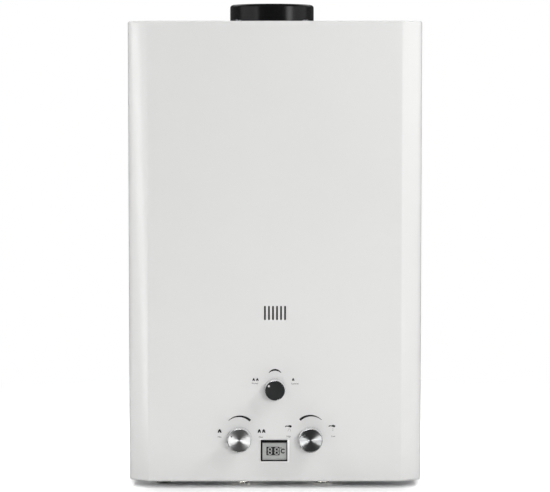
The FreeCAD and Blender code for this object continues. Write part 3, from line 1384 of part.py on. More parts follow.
def battery_box():
    """Box for two D cells that stand on the door, with the hinge's ears and pin behind it."""
    x0, x1, y0, y1 = battery_mouth()
    wall, floor_, roof = s.battery_wall, panel_floor + s.sheet_thickness, battery_roof()
    outer = box("battery_outer", x0 - wall, x1 + wall, y0 - wall, y1 + wall, floor_, roof + wall)
    outer = rounded("battery_round", outer, s.battery_corner, runs_along("Z"))
    inner = box("battery_inner", x0, x1, y0, y1, floor_ - overrun, roof)
    hinge_y, hinge_z, radius, half = door_hinge_y(), door_hinge_z(), s.door_hinge_radius, s.ear_width / 2
    reach = s.door_hinge_length / 2 + s.door_fit
    ears = []
    for i, x in enumerate((battery_x - reach - half, battery_x + reach + half)):
        ears.append(rod(f"ear_round_{i}", radius, "X", x - half, hinge_y, hinge_z, s.ear_width))
        ears.append(box(f"ear_web_{i}", x - half, x + half, y1 + wall / 2, hinge_y + radius, hinge_z,
                        floor_ + radius))
    pin_half = reach + s.ear_width
    pin = rod("door_pin", s.door_pin_radius, "X", battery_x - pin_half, hinge_y, hinge_z, pin_half * 2)
    catch = catch_box("catch_pocket", s.door_fit)
    body = fuse("battery_solid", [outer, pin] + ears)
    node(cut("battery_box", body, [fuse("battery_hollow", [inner, catch])]), "battery_box")


def batteries():
    """Two D cells, one each way up, and a coil of three contact rings above each."""
    button_height = s.cell_button_height
    cells, contacts = [], []
    rings = s.count("contact_ring_count")
    roof = battery_roof()
    pitch = (roof - panel_floor - s.cell_length - button_height) / rings
    offset = s.cell_radius + s.cell_fit / 2
    for i, (x, upright) in enumerate(((battery_x - offset, True), (battery_x + offset, False))):
        can_z = panel_floor if upright else panel_floor + button_height
        button_z = panel_floor + s.cell_length if upright else panel_floor
        can = rod(f"cell_can_{i}", s.cell_radius, "Z", x, battery_y, can_z, s.cell_length)
        can = rounded(f"cell_round_{i}", can, button_height, lambda e: isinstance(e.Curve, Part.Circle))
        button = rod(f"cell_button_{i}", s.cell_button, "Z", x, battery_y, button_z, button_height)
        cells.append(fuse(f"cell_{i}", [can, button]))
        for j in range(rings):
            ring = part("Torus", f"contact_{i}{j}")
            bind(ring, "Radius1", s.contact_radius - s.contact_taper * j)
            bind(ring, "Radius2", pitch / 2)
            place(ring, x, battery_y, roof - pitch * j - pitch / 2)
            contacts.append(ring)
    node(compound("dry_cells", cells), "dry_cells")
    node(compound("battery_contacts", contacts), "battery_contacts")


def battery_door():
    """Door below the bottom panel, hinged at its back edge, with a catch at the front."""
    x0, x1, y0, y1 = battery_mouth()
    margin, z0 = s.door_margin, panel_floor - s.door_thickness
    hinge_y, hinge_z, half = door_hinge_y(), door_hinge_z(), s.door_hinge_length / 2
    left, right = battery_x - half, battery_x + half
    plate = box("door_plate", x0 - margin, x1 + margin, y0 - margin, y1 + s.door_fit, z0, panel_floor)
    tab = box("door_tab", left, right, y1, hinge_y, z0, panel_floor)
    knuckle = rod("door_knuckle", s.door_hinge_radius, "X", left, hinge_y, hinge_z, s.door_hinge_length)
    catch_half, catch_y = s.catch_width / 2, y0 + s.door_fit
    lug = box("door_lug", battery_x - catch_half, battery_x + catch_half, catch_y,
              catch_y + s.catch_thickness, panel_floor - s.catch_root, panel_floor + s.catch_height)
    bore = rod("door_bore", s.door_pin_radius + s.door_pin_fit, "X", left - overrun, hinge_y, hinge_z,
               s.door_hinge_length + overrun * 2)
    node(cut("battery_door", fuse("door_solid", [plate, tab, knuckle, lug]), [bore]), "battery_door")


# Leads.
def lead(name, points):
    return pipe(name, points, s.lead_radius, s.lead_bend)


def leads():
    """Insulated leads, each along its own route from part to part."""
    box_top = bottom + s.control_level + s.control_height
    sleeve_y = exchanger_front - s.insulator_proud
    ahead = sleeve_y - s.lead_room
    z = bottom + s.electrode_level
    low = burner_roof - s.lead_dip
    lower = low - s.lead_dip
    under = lower + s.flame_lead_lift
    spark_x, flame_x = exchanger_half + s.spark_lead_gap, exchanger_half + s.flame_lead_gap
    spark = lead("spark_lead", [
        (spark_x, lead_y, box_top), (spark_x, lead_y, low), (spark_x, ahead, z),
        (s.electrode_offset, ahead, z), (s.electrode_offset, sleeve_y, z),
    ])
    flame = lead("flame_lead", [
        (flame_x, lead_y, box_top), (flame_x, lead_y, lower), (flame_x, ahead, under),
        (-s.sensor_offset, ahead, under), (-s.sensor_offset, ahead, z), (-s.sensor_offset, sleeve_y, z),
    ])
    node(compound("ignition_leads", [spark, flame]), "ignition_leads")
    x = battery_mouth()[1] - s.cell_radius
    roof = battery_roof() + s.battery_wall
    high = roof + s.battery_lead_rise
    node(lead("battery_lead", [
        (x, battery_y, roof), (x, battery_y, high), (x, lead_y, high), (control_left, lead_y, high),
    ]), "battery_lead")
    board_back = front + s.bezel_depth + s.board_thickness
    x, z = bezel_middle()
    start_x, level = x + s.display_lead_shift, z - s.display_lead_dip
    turn_x, turn_y = control_left + s.display_lead_inset, board_back + s.display_lead_reach
    node(lead("display_lead", [
        (start_x, board_back, level), (start_x, turn_y, level), (turn_x, turn_y, level),
        (turn_x, lead_y, level), (turn_x, lead_y, bottom + s.control_level),
    ]), "display_lead")


front_cover()
rear_panel()
top_panel()
bottom_panel()
screws()
flue_collar()
sight_window()
display()
knob("gas_knob", gas_x, knob_z, s.knob_radius, s.shaft_radius, s.gas_dot_inset, s.gas_dot_angle)
knob("water_knob", water_x, knob_z, s.knob_radius, s.shaft_radius, s.water_dot_inset, s.water_dot_angle)
knob("season_knob", 0, season_z, s.season_knob_radius, s.season_shaft_radius, s.season_dot_inset,
     s.season_dot_angle)
knob_shaft("gas_shaft", gas_x, knob_z, s.shaft_radius, boss_front, s.shaft_bearing)
knob_shaft("water_shaft", water_x, knob_z, s.shaft_radius, boss_front, s.shaft_bearing)
knob_shaft("season_shaft", 0, season_z, s.season_shaft_radius, sector_front, s.season_bearing)
gas_valve()
push_rod()
gas_spring()
link_housing()
micro_switch()
water_valve()
ports()
gas_train()
burner_tray()
burner_blades()
exchanger_shell()
fin_block()
fin_tubes()
water_pipes()
brackets()
draft_hood()
ignition()
sensors()
control_box()
battery_box()
batteries()
battery_door()
leads()
doc.recompute()

broken = [thing.Name for thing in doc.Objects if {"Invalid", "Error"} & set(thing.State)]
if broken:
    raise RuntimeError(f"these objects did not compute: {broken}")
os.makedirs("parts", exist_ok=True)
for thing in nodes:
    shape = thing.Shape
    if shape.isNull() or not shape.isValid():
        raise RuntimeError(f"{thing.Label} has no valid shape")
    bounds = shape.BoundBox
    spans = [round(v) for v in (bounds.XMin, bounds.XMax, bounds.YMin, bounds.YMax, bounds.ZMin, bounds.ZMax)]
    print(thing.Label, len(shape.Solids), round(shape.Volume), spans)
    shape.exportStep(f"parts/{thing.Label}.step")
print(len(nodes), "nodes")
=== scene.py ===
import math

import bpy
import numpy as np
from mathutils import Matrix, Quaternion, Vector


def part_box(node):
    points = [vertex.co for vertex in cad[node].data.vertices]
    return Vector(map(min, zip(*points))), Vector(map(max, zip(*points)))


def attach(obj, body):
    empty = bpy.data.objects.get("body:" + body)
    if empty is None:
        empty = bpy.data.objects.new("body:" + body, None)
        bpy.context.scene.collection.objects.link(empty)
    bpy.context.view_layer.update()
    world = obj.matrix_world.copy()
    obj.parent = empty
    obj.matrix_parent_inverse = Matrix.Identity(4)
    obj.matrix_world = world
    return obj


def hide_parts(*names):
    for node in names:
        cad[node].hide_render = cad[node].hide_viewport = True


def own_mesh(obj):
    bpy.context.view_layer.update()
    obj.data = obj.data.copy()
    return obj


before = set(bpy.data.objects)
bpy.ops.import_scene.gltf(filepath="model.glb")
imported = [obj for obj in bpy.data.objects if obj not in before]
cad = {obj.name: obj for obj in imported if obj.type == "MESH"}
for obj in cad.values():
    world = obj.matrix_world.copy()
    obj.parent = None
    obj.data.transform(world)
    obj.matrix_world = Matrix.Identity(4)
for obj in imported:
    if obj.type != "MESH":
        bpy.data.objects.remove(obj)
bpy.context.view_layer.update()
mm = 0.001
noiseLow, noiseHigh = 0.3, 0.7  # nearly all of a noise lies between these

frontY = -165.0  # mm, the plane of the front panel
heaterMiddle = (0, -82, 0)  # mm, halfway through the case


# colour and nodes

def linear(hexColour):
    # sRGB hex to linear light: divide by 12.92 near black, otherwise the 2.4 power curve
    channels = np.array([int(hexColour[i:i + 2], 16) for i in (1, 3, 5)]) / 255
    return tuple(np.where(channels <= 0.04045, channels / 12.92, ((channels + 0.055) / 1.055) ** 2.4))


def rgba(hexColour):
    return (*linear(hexColour), 1.0)


def setSockets(node, **values):
    # a socket is written with _ for a space, or as inN where only its number N tells it from others
    for name, value in values.items():
        numbered = name[:2] == "in" and name[2:].isdigit()
        node.inputs[int(name[2:]) if numbered else name.replace("_", " ")].default_value = value


def addNode(tree, kind, links=(), operation=None, **settings):
    # one node with its settings and links; a link is (socket of this node, other node, socket of the other)
    made = tree.nodes.new(kind)
    if operation:
        made.operation = operation
    for name, value in settings.items():
        if hasattr(made, name):
            setattr(made, name, value)
        else:
            setSockets(made, **{name: value})
    for mine, other, theirs in links:
        tree.links.new(other.outputs[theirs], made.inputs[mine])
    return made


def shaderFor(name):
    # a new material with its nodes and its main shader
    made = bpy.data.materials.new(name)
    made.use_nodes = True
    return made, made.node_tree, made.node_tree.nodes["Principled BSDF"]


# each surface has two colours that drift into each other over patch mm, a roughness between two values, and a
# skin of bumps that are grain mm across and relief mm deep. It may have a metal or a coat share, and a crown:
# how far out the middle of a folded strip lies, half the strip's width and the height of its bulge, in mm
surfaces = {
    # baked white enamel: faint orange peel breaks up the softbox reflections
    "enamelWhite": dict(colours=("#dededd", "#dadad9"), patch=140, rough=(0.30, 0.34),
                        grain=2.2, relief=0.004, coat=0.8, crown=dict(middle=177, half=12.5, height=0.4)),
    # gloss black enamel: deep black with hard, bright vertical reflections
    "enamelBlack": dict(colours=("#0e0e0f", "#121213"), patch=60, rough=(0.21, 0.26),
                        grain=1.8, relief=0.002, coat=0.0),
    # zinc-coated sheet: mottled spangle in grey and a dull shine
    "zincSheet": dict(colours=("#b6babd", "#9da2a6"), patch=9, rough=(0.34, 0.50),
                      grain=3, relief=0.002, metal=0.6),
    # plated screw: brighter, bluish, fine scratches
    "zincPlated": dict(colours=("#c6c9cf", "#b3b7bf"), patch=3, rough=(0.22, 0.34),
                       grain=0.5, relief=0.003, metal=1),
    # brushed stainless: neutral, with short fine grain
    "stainless": dict(colours=("#b9b9b6", "#a3a3a0"), patch=8, rough=(0.28, 0.40),
                      grain=0.6, relief=0.003, metal=1),
    # polished plating: a near mirror that picks up the whole room
    "chromePlate": dict(colours=("#f0f0f1", "#e6e7e9"), patch=20, rough=(0.09, 0.14),
                        grain=1.2, relief=0.001, metal=1),
    # nickel plating over brass: silver with a trace of warmth, softly bright
    "nickelPlate": dict(colours=("#cfcdc8", "#bdbab3"), patch=6, rough=(0.20, 0.30),
                        grain=0.7, relief=0.003, metal=1),
    # machined brass: warm yellow with dull finger marks
    "brassTurned": dict(colours=("#c8a35a", "#ab8442"), patch=7, rough=(0.24, 0.40),
                        grain=0.8, relief=0.004, metal=1),
    # tarnished copper: orange to brown, uneven shine from heat
    "copperTube": dict(colours=("#c6774f", "#8f5236"), patch=16, rough=(0.28, 0.50),
                       grain=1.5, relief=0.004, metal=1),
    # die-cast alloy: grey, matt, slightly pitted skin
    "castAlloy": dict(colours=("#a5a6a7", "#8d8f91"), patch=12, rough=(0.48, 0.62),
                      grain=0.9, relief=0.03, metal=1),
    # ground steel: bright shaft with fine turning marks
    "groundSteel": dict(colours=("#c2c3c6", "#aeb0b4"), patch=6, rough=(0.18, 0.28),
                        grain=0.4, relief=0.002, metal=1),
    # moulded grey plastic: fine spark-erosion texture, no gloss
    "greyMoulding": dict(colours=("#54575a", "#4c4f52"), patch=40, rough=(0.50, 0.60),
                         grain=0.7, relief=0.02),
    # moulded black plastic: satin, dark but not empty
    "blackMoulding": dict(colours=("#141516", "#1b1c1d"), patch=25, rough=(0.36, 0.46),
                          grain=0.6, relief=0.012),
    # inner wall of the display: deep matt black, darker than the mouldings, partly its own colour and partly
    # painted shade in the recess
    "wallBlackShade": dict(colours=("#09090a", "#0d0d0e"), patch=12, rough=(0.55, 0.65), grain=0.6, relief=0.008),
    # black rubber: very matt with a powdery bloom
    "blackRubber": dict(colours=("#191919", "#232323"), patch=10, rough=(0.72, 0.86), grain=0.5, relief=0.02),
    # glazed ceramic: warm white and wet-looking
    "glazedCeramic": dict(colours=("#ece9e2", "#e2ddd2"), patch=10, rough=(0.12, 0.20),
                          grain=1, relief=0.004, coat=0.4),
    # silicone-insulated lead: dull red with a soft shine
    "redSilicone": dict(colours=("#9c1f18", "#861a15"), patch=20, rough=(0.42, 0.55), grain=0.6, relief=0.01),
    # printed film round a dry cell: smooth dark blue-grey
    "cellFilm": dict(colours=("#27323d", "#2d3a47"), patch=30, rough=(0.22, 0.30),
                     grain=2, relief=0.004, coat=0.3),
    # liquid crystal glass: flat grey-green panel, slightly sparkling
    "lcdGlass": dict(colours=("#b2b4b1", "#a9aba8"), patch=14, rough=(0.22, 0.30),
                     grain=0.4, relief=0.002, coat=0.3),
    # dark liquid crystal: the driven field behind the digits
    "lcdDark": dict(colours=("#1d1e1e", "#292a2a"), patch=3, rough=(0.25, 0.32),
                    grain=0.4, relief=0.001, coat=0.3),
    # undriven segments: light against the dark field
    "lcdLight": dict(colours=("#b4b6b3", "#a6a8a5"), patch=2, rough=(0.28, 0.34),
                     grain=0.4, relief=0.001, coat=0.3),
    # screen-printed ink: dense black, slightly glossier than the enamel
    "printedInk": dict(colours=("#121212", "#1a1a1a"), patch=4, rough=(0.34, 0.44), grain=0.5, relief=0.003),
    # thin ink of the small words: greyer, because the strokes are fine
    "printedWords": dict(colours=("#1c1c1c", "#282828"), patch=4, rough=(0.40, 0.50),
                         grain=0.5, relief=0.002),
    # pale gloss plastic of the display's trim, whiter than the case: partly its own colour, partly a painted
    # highlight along its right side
    "trimWhiteHighlight": dict(colours=("#f4f4f3", "#eeeeed"), patch=18, rough=(0.16, 0.24),
                      grain=1.2, relief=0.003, coat=0.4),
    # black satin disc of the upper knob
    "knobBlack": dict(colours=("#1f2121", "#2b2d2d"), patch=9, rough=(0.30, 0.42), grain=0.5, relief=0.004),
    # white paint of a pointer dot
    "paintWhite": dict(colours=("#e4e4e2", "#cfcfcc"), patch=1, rough=(0.35, 0.45), grain=0.3, relief=0.004),
    # grey paint in the middle of a pointer dot
    "paintGrey": dict(colours=("#8f9191", "#7f8181"), patch=1, rough=(0.35, 0.45), grain=0.3, relief=0.004),
    # dark paint of a pointer dot
    "paintDark": dict(colours=("#2a2a2a", "#383838"), patch=1, rough=(0.40, 0.50), grain=0.3, relief=0.004),
}


def driftingTint(tree, place, patch, colours, detail):
    # two colours, mixed by a noise whose patches are patch mm wide
    drift = addNode(tree, "ShaderNodeTexNoise", [("Vector", place, "Object")], Scale=1 / (patch * mm),
                    Detail=detail)
    tint = addNode(tree, "ShaderNodeMix", [("Factor", drift, "Fac")], data_type="RGBA",
                   in6=rgba(colours[0]), in7=rgba(colours[1]))
    return drift, tint


def crownBump(tree, place, middle, half, height):
    # folded strips bulge a little: the height falls with the square of the distance from the strip's middle
    split = addNode(tree, "ShaderNodeSeparateXYZ", [("Vector", place, "Object")])
    side = addNode(tree, "ShaderNodeMath", [(0, split, "X")], "ABSOLUTE")
    across = addNode(tree, "ShaderNodeMath", [(0, side, "Value")], "SUBTRACT", in1=middle * mm)
    share = addNode(tree, "ShaderNodeMath", [(0, across, "Value")], "DIVIDE", in1=half * mm)
    squared = addNode(tree, "ShaderNodeMath", [(0, share, "Value"), (1, share, "Value")], "MULTIPLY")
    fall = addNode(tree, "ShaderNodeMath", [(0, squared, "Value")], "MINIMUM", in1=1.0)
    return addNode(tree, "ShaderNodeBump", [("Height", fall, "Value")], Distance=height * mm, invert=True)


def surfaceMaterial(name, colours, patch, rough, grain, relief, metal=0, coat=0, crown=None):
    # tint and roughness follow one slow noise, and a fine noise raises the skin
    made, tree, shader = shaderFor(name)
    place = addNode(tree, "ShaderNodeTexCoord")
    drift, tint = driftingTint(tree, place, patch, colours, 3.0)
    tree.links.new(tint.outputs[2], shader.inputs["Base Color"])
    wear = addNode(tree, "ShaderNodeMapRange", [("Value", drift, "Fac")], From_Min=noiseLow,
                   From_Max=noiseHigh, To_Min=rough[0], To_Max=rough[1])
    tree.links.new(wear.outputs["Result"], shader.inputs["Roughness"])
    skin = addNode(tree, "ShaderNodeTexNoise", [("Vector", place, "Object")], Scale=1 / (grain * mm),
                   Detail=2.0)
    bump = addNode(tree, "ShaderNodeBump", [("Height", skin, "Fac")], Distance=relief * mm, Strength=1.0)
    if crown:
        bulge = crownBump(tree, place, **crown)
        tree.links.new(bulge.outputs["Normal"], bump.inputs["Normal"])
        tree.links.new(bulge.outputs["Normal"], shader.inputs["Coat Normal"])
    tree.links.new(bump.outputs["Normal"], shader.inputs["Normal"])
    setSockets(shader, Metallic=metal, Coat_Weight=coat, Coat_Roughness=0.10)
    return made


# faces turned on a lathe: grooves in mm apart and deep, a slow drift per mm, and how far the roughness strays
turning = dict(groove=0.45, depth=0.002, strength=0.35, drift=1.7, stray=0.03)
spunFinishes = dict(
    spunLight=dict(colour="#e4e4e4", rough=0.52, anisotropy=0.90),
    spunDark=dict(colour="#c6c8c8", rough=0.44, anisotropy=1.0),
)


def spunMaterial(name, colour, rough, anisotropy):
    # turned metal: grooves run round the disc, so lights smear into wedges that meet at its middle.
    # U of the map runs outwards in mm and V round the disc, so the wave of grooves only reads U
    made, tree, shader = shaderFor(name)
    uv = addNode(tree, "ShaderNodeUVMap", uv_map="turning")
    split = addNode(tree, "ShaderNodeSeparateXYZ", [("Vector", uv, "UV")])
    rings = addNode(tree, "ShaderNodeMath", [(0, split, "X")], "MULTIPLY",
                    in1=2 * math.pi / turning["groove"])
    wave = addNode(tree, "ShaderNodeMath", [(0, rings, "Value")], "SINE")
    spread = addNode(tree, "ShaderNodeTexNoise", [("W", split, "X")], noise_dimensions="1D",
                     Scale=turning["drift"], Detail=6.0)
    both = addNode(tree, "ShaderNodeMath", [(0, wave, "Value"), (1, spread, "Fac")], "ADD")
    bump = addNode(tree, "ShaderNodeBump", [("Height", both, "Value")], Distance=turning["depth"] * mm,
                   Strength=turning["strength"])
    shade = addNode(tree, "ShaderNodeMapRange", [("Value", spread, "Fac")], From_Min=noiseLow,
                    From_Max=noiseHigh, To_Min=rough - turning["stray"], To_Max=rough + turning["stray"])
    grain = addNode(tree, "ShaderNodeTangent", direction_type="UV_MAP", uv_map="turning")
    for output, socket in ((bump.outputs["Normal"], "Normal"), (shade.outputs["Result"], "Roughness"),
                           (grain.outputs["Tangent"], "Tangent")):
        tree.links.new(output, shader.inputs[socket])
    setSockets(shader, Base_Color=rgba(colour), Metallic=1, Anisotropic=anisotropy)
    return made


# sight glass: clean and sooty colour, soot patches in mm
glass = dict(colours=("#3a3d3e", "#5b5d5e"), patch=12, rough=0.08, clear=0.9, ior=1.47)


def glassMaterial(name):
    # smoked glass, so the burner behind it shows only as a dim shape
    made, tree, shader = shaderFor(name)
    place = addNode(tree, "ShaderNodeTexCoord")
    tint = driftingTint(tree, place, glass["patch"], glass["colours"], 4.0)[1]
    tree.links.new(tint.outputs[2], shader.inputs["Base Color"])
    setSockets(shader, Roughness=glass["rough"], Transmission_Weight=glass["clear"], IOR=glass["ior"])
    return made


looks = {name: surfaceMaterial(name, **recipe) for name, recipe in surfaces.items()}
looks |= {name: spunMaterial(name, **finish) for name, finish in spunFinishes.items()}
looks["sightGlass"] = glassMaterial("sightGlass")
print("materials", len(looks))


# CAD nodes keep their shape and get their material

nodeLooks = dict(
    enamelWhite="front_cover top_panel",
    enamelBlack="flue_collar",
    zincSheet="rear_panel bottom_panel burner_tray draft_hood brackets",
    zincPlated="case_screws",
    stainless="sight_frame gas_spring switch_lever inlet_filter transfer_pipe burner_blades overheat_cutout "
              "water_probe battery_contacts",
    chromePlate="gas_knob water_knob season_knob",
    nickelPlate="gas_inlet cold_inlet hot_outlet lock_nuts drain_plug",
    brassTurned="gas_valve_cap push_rod gas_nozzles",
    copperTube="exchanger_shell fin_block fin_tubes coil_pipe hot_pipe",
    castAlloy="gas_valve gas_housing water_valve sector_valve gas_manifold",
    groundSteel="gas_shaft water_shaft season_shaft",
    greyMoulding="gas_solenoid control_box battery_box battery_door",
    blackMoulding="micro_switch display_bezel",
    blackRubber="diaphragm",
    glazedCeramic="electrodes",
    redSilicone="ignition_leads battery_lead display_lead",
    cellFilm="dry_cells",
    lcdGlass="display_module",
    spunLight="gas_knob_face water_knob_face",
    knobBlack="season_knob_face",
    sightGlass="sight_glass",
)
for look, names in nodeLooks.items():
    for name in names.split():
        mesh = cad[name].data
        mesh.materials.clear()
        mesh.materials.append(looks[look])
print("cad nodes dressed")


# surfaces

def placePiece(name, mesh, body):
    # puts a finished mesh into the scene at the origin, on a moving body or on the heater itself
    piece = bpy.data.objects.new(name, mesh)
    bpy.context.scene.collection.objects.link(piece)
    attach(piece, body)
    return piece


def meshPiece(name, verts, faces, look, body="heater", uv=None, sharp=35):
    mesh = bpy.data.meshes.new(name)
    mesh.from_pydata(np.asarray(verts).tolist(), [], faces)
    mesh.validate()
    mesh.update()
    mesh.materials.append(looks[look])
    if uv is not None:
        layer = mesh.uv_layers.new(name="turning")
        index = np.zeros(len(mesh.loops), int)
        mesh.loops.foreach_get("vertex_index", index)
        layer.data.foreach_set("uv", np.asarray(uv)[index].astype(np.float32).ravel())
    mesh.polygons.foreach_set("use_smooth", np.ones(len(mesh.polygons), bool))
    mesh.set_sharp_from_angle(angle=math.radians(sharp))
    return placePiece(name, mesh, body)


def ringSteps(columns):
    # each column of a ring and the next one, the last followed by the first
    j = np.arange(columns)
    return j, (j + 1) % columns


def gridFaces(rows, columns):
    # quads between neighbouring points of a grid whose columns wrap round
    i, j = np.meshgrid(np.arange(rows - 1), np.arange(columns), indexing="ij")
    nextJ = (j + 1) % columns
    corners = (i * columns + j, i * columns + nextJ, (i + 1) * columns + nextJ, (i + 1) * columns + j)
    return np.stack([c.ravel() for c in corners], 1)


def closedFaces(rows, columns):
    # the same, with the last row joined to the first
    j, nextJ = ringSteps(columns)
    last = (rows - 1) * columns
    return np.concatenate([gridFaces(rows, columns), np.stack([last + j, last + nextJ, nextJ, j], 1)])


def softCorners(points, radii, steps=5):
    # a closed outline whose corners become arcs: each arc starts and ends where its circle touches both sides
    points = np.asarray(points, float)
    made = []
    for i, radius in enumerate(radii):
        corner, before, after = points[i], points[i - 1], points[(i + 1) % len(points)]
        if radius <= 0:
            made.append(corner[None])
            continue
        back = (before - corner) / np.linalg.norm(before - corner)
        ahead = (after - corner) / np.linalg.norm(after - corner)
        half = math.acos(np.clip(back @ ahead, -1, 1)) / 2
        centre = corner + (back + ahead) / np.linalg.norm(back + ahead) * radius / math.sin(half)
        start = corner + back * radius / math.tan(half) - centre
        end = corner + ahead * radius / math.tan(half) - centre
        turn = math.pi - 2 * half
        t = np.linspace(0, 1, steps + 1)[:, None]
        made.append(centre + (np.sin((1 - t) * turn) * start + np.sin(t * turn) * end) / math.sin(turn))
    return np.concatenate(made)


def turnedPiece(name, outline, centre, axis, look, body="heater", steps=96):
    # a closed outline of (radius, height) carried once round the axis: the point at angle a stands at
    # centre + height along the axis + radius times (cos a, sin a) in the plane across it
    outline = np.asarray(outline, float) * mm
    angle = np.linspace(0, 2 * math.pi, steps, endpoint=False)
    along = np.asarray(axis, float)
    across = np.array([1.0, 0, 0])
    up = np.cross(along, across)
    ring = np.cos(angle)[:, None] * across + np.sin(angle)[:, None] * up
    verts = np.asarray(centre) * mm + outline[:, 0, None, None] * ring[None]
    verts = (verts + outline[:, 1, None, None] * along).reshape(-1, 3)
    return meshPiece(name, verts, closedFaces(len(outline), steps)[:, ::-1].tolist(), look, body)


def framePiece(name, outline, outer, inner, corner, y, look, steps=6):
    # an outline of (share, depth) carried round two rounded rectangles in the XZ plane, given as (left, low,
    # right, high): share 0 lies on the outer one and share 1 on the inner one, and depth goes back along Y
    outline = np.asarray(outline, float)
    share, depth = outline[:, 0, None], outline[:, 1, None]
    edges = (1 - share) * np.asarray(outer, float) + share * np.asarray(inner, float)
    innerCorner = corner * 0.6  # a tighter corner inside keeps the frame's width even
    radius = (1 - share) * corner + share * innerCorner
    angle = (np.linspace(0, math.pi / 2, steps + 1) + np.arange(4)[:, None] * math.pi / 2).ravel()
    right = np.repeat([True, False, False, True], steps + 1)
    high = np.repeat([True, True, False, False], steps + 1)
    x = np.where(right, edges[:, 2:3] - radius, edges[:, 0:1] + radius) + radius * np.cos(angle)
    z = np.where(high, edges[:, 3:4] - radius, edges[:, 1:2] + radius) + radius * np.sin(angle)
    verts = (np.stack([x, y + depth + 0 * x, z], 2) * mm).reshape(-1, 3)
    return meshPiece(name, verts, closedFaces(*x.shape).tolist(), look)


def platePiece(name, outlines, y, look, thickness=0.06):
    # flat shapes in the XZ plane, given as closed outlines in mm, each with a front, a back and a rim
    verts, faces = [], []
    for outline in outlines:
        outline = np.asarray(outline, float)
        x, z = outline.T
        area = np.sum(x * np.roll(z, -1) - np.roll(x, -1) * z)
        outline = outline[::-1] if area < 0 else outline
        base, count = len(verts), len(outline)
        for depth in (y - thickness, y):
            verts += [(px * mm, depth * mm, pz * mm) for px, pz in outline.tolist()]
        faces.append(tuple(base + i for i in range(count)))
        faces.append(tuple(base + count + i for i in reversed(range(count))))
        j, nextJ = ringSteps(count)
        faces += (base + np.stack([j, count + j, count + nextJ, nextJ], 1)).tolist()
    return meshPiece(name, verts, faces, look)


# knobs

knobs = dict(
    gas=dict(x=-46, z=-241.5, radius=16.0, body="gas_control", node="gas_knob", face="spunLight", dot=152,
             dotLook="paintDark", dotReach=11.4, dotSize=1.0, dotCore=0),
    water=dict(x=46, z=-241.5, radius=16.0, body="water_control", node="water_knob", face="spunDark", dot=138,
               dotLook="paintDark", dotReach=9.8, dotSize=1.6, dotCore=0.7),
    season=dict(x=0, z=-176.5, radius=13.8, body="season_control", node="season_knob", face="knobBlack",
                dot=144, dotLook="paintWhite", dotReach=9.9, dotSize=1.3, dotCore=0),
)
knobShape = dict(back=-166.5, length=18.0, draft=0.9, border=0.5, hole=7, holeEdge=0.3, footEdge=0.7,
                 edge=0.45, lipEdge=0.12, faceDepth=1.2, faceSink=0.2, faceGap=0.06)
# a pointer dot is a crowned disc set a little into the face, and its core stands on it
dotShape = dict(thickness=0.3, crown=0.08, sink=0.02, coreRise=0.08)
faceFront = knobShape["back"] - knobShape["length"] + knobShape["faceSink"]


def discPiece(name, radius, centre, thickness, look, body, dish=0.12, rings=26, steps=120):
    # a closed disc that faces -Y: rings of points from the middle to the rim, its front sunk by dish mm
    # times one minus the square of the radius share. V of its map runs over roundUnits once round
    roundUnits = 40
    share = np.linspace(0, 1, rings)[1:]
    angle = np.linspace(0, 2 * math.pi, steps, endpoint=False)
    x = share[:, None] * radius * np.cos(angle)
    z = share[:, None] * radius * np.sin(angle)
    y = dish * (1 - share[:, None] ** 2) + 0 * x
    front = np.stack([x, y, z], 2).reshape(-1, 3)
    back = np.stack([x[-1], thickness + 0 * x[-1], z[-1]], 1)
    verts = np.concatenate([front, back, [[0, dish, 0], [0, thickness, 0]]])
    aroundV = angle / (2 * math.pi) * roundUnits
    frontUv = np.stack([np.repeat(share * radius, steps), np.tile(aroundV, rings - 1)], 1)
    backUv = np.stack([radius + thickness + 0 * angle, aroundV], 1)
    count = len(front)
    last, frontPole, backPole = count - steps, count + steps, count + steps + 1
    j, nextJ = ringSteps(steps)
    faces = gridFaces(rings - 1, steps).tolist()
    faces += np.stack([last + j, last + nextJ, count + nextJ, count + j], 1).tolist()
    faces += np.stack([j, nextJ, 0 * j + frontPole], 1).tolist()
    faces += np.stack([0 * j + backPole, count + nextJ, count + j], 1).tolist()
    return meshPiece(name, (verts + np.asarray(centre)) * mm, faces, look, body,
                     np.concatenate([frontUv, backUv, [[0, 0], [0, 0]]]))


def pointerDot(name, knob, radius, look, depth):
    # a small disc at reach times (cos, sin) of its angle from the knob's middle, depth mm behind the face
    turn, reach = math.radians(knob["dot"]), knob["dotReach"]
    middle = (knob["x"] + reach * math.cos(turn), faceFront + depth, knob["z"] + reach * math.sin(turn))
    dot = discPiece(name, radius, middle, dotShape["thickness"], look, knob["body"], dish=-dotShape["crown"],
                    rings=8, steps=32)


def knobPieces(name, knob):
    # a drafted bright shell with a recess, the face in the recess, and a pointer dot on the face
    shape, radius = knobShape, knob["radius"]
    tip = radius - shape["draft"]
    inner = tip - shape["border"]
    hole, length, recess = shape["hole"], shape["length"], shape["length"] - shape["faceDepth"]
    corners = [(hole, 0), (radius, 0), (tip, length), (inner, length), (inner, recess), (hole, recess)]
    edges = [shape["holeEdge"], shape["footEdge"], shape["edge"], shape["lipEdge"], 0, shape["holeEdge"]]
    foot = (knob["x"], shape["back"], knob["z"])
    shell = turnedPiece(name + "KnobShell", softCorners(corners, edges), foot, (0, -1, 0), "chromePlate",
                        knob["body"])
    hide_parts(knob["node"])
    face = discPiece(name + "KnobFace", inner - shape["faceGap"], (knob["x"], faceFront, knob["z"]),
                     shape["faceDepth"] - shape["faceSink"], knob["face"], knob["body"])
    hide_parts(knob["node"] + "_face")
    pointerDot(name + "KnobDot", knob, knob["dotSize"], knob["dotLook"], dotShape["sink"])
    if knob["dotCore"]:
        pointerDot(name + "KnobDotCore", knob, knob["dotCore"], "paintGrey", -dotShape["coreRise"])
    return shell, face


knobShells, spunFaces = zip(*[knobPieces(name, knob) for name, knob in knobs.items()])
print("knobs")


# gas spring

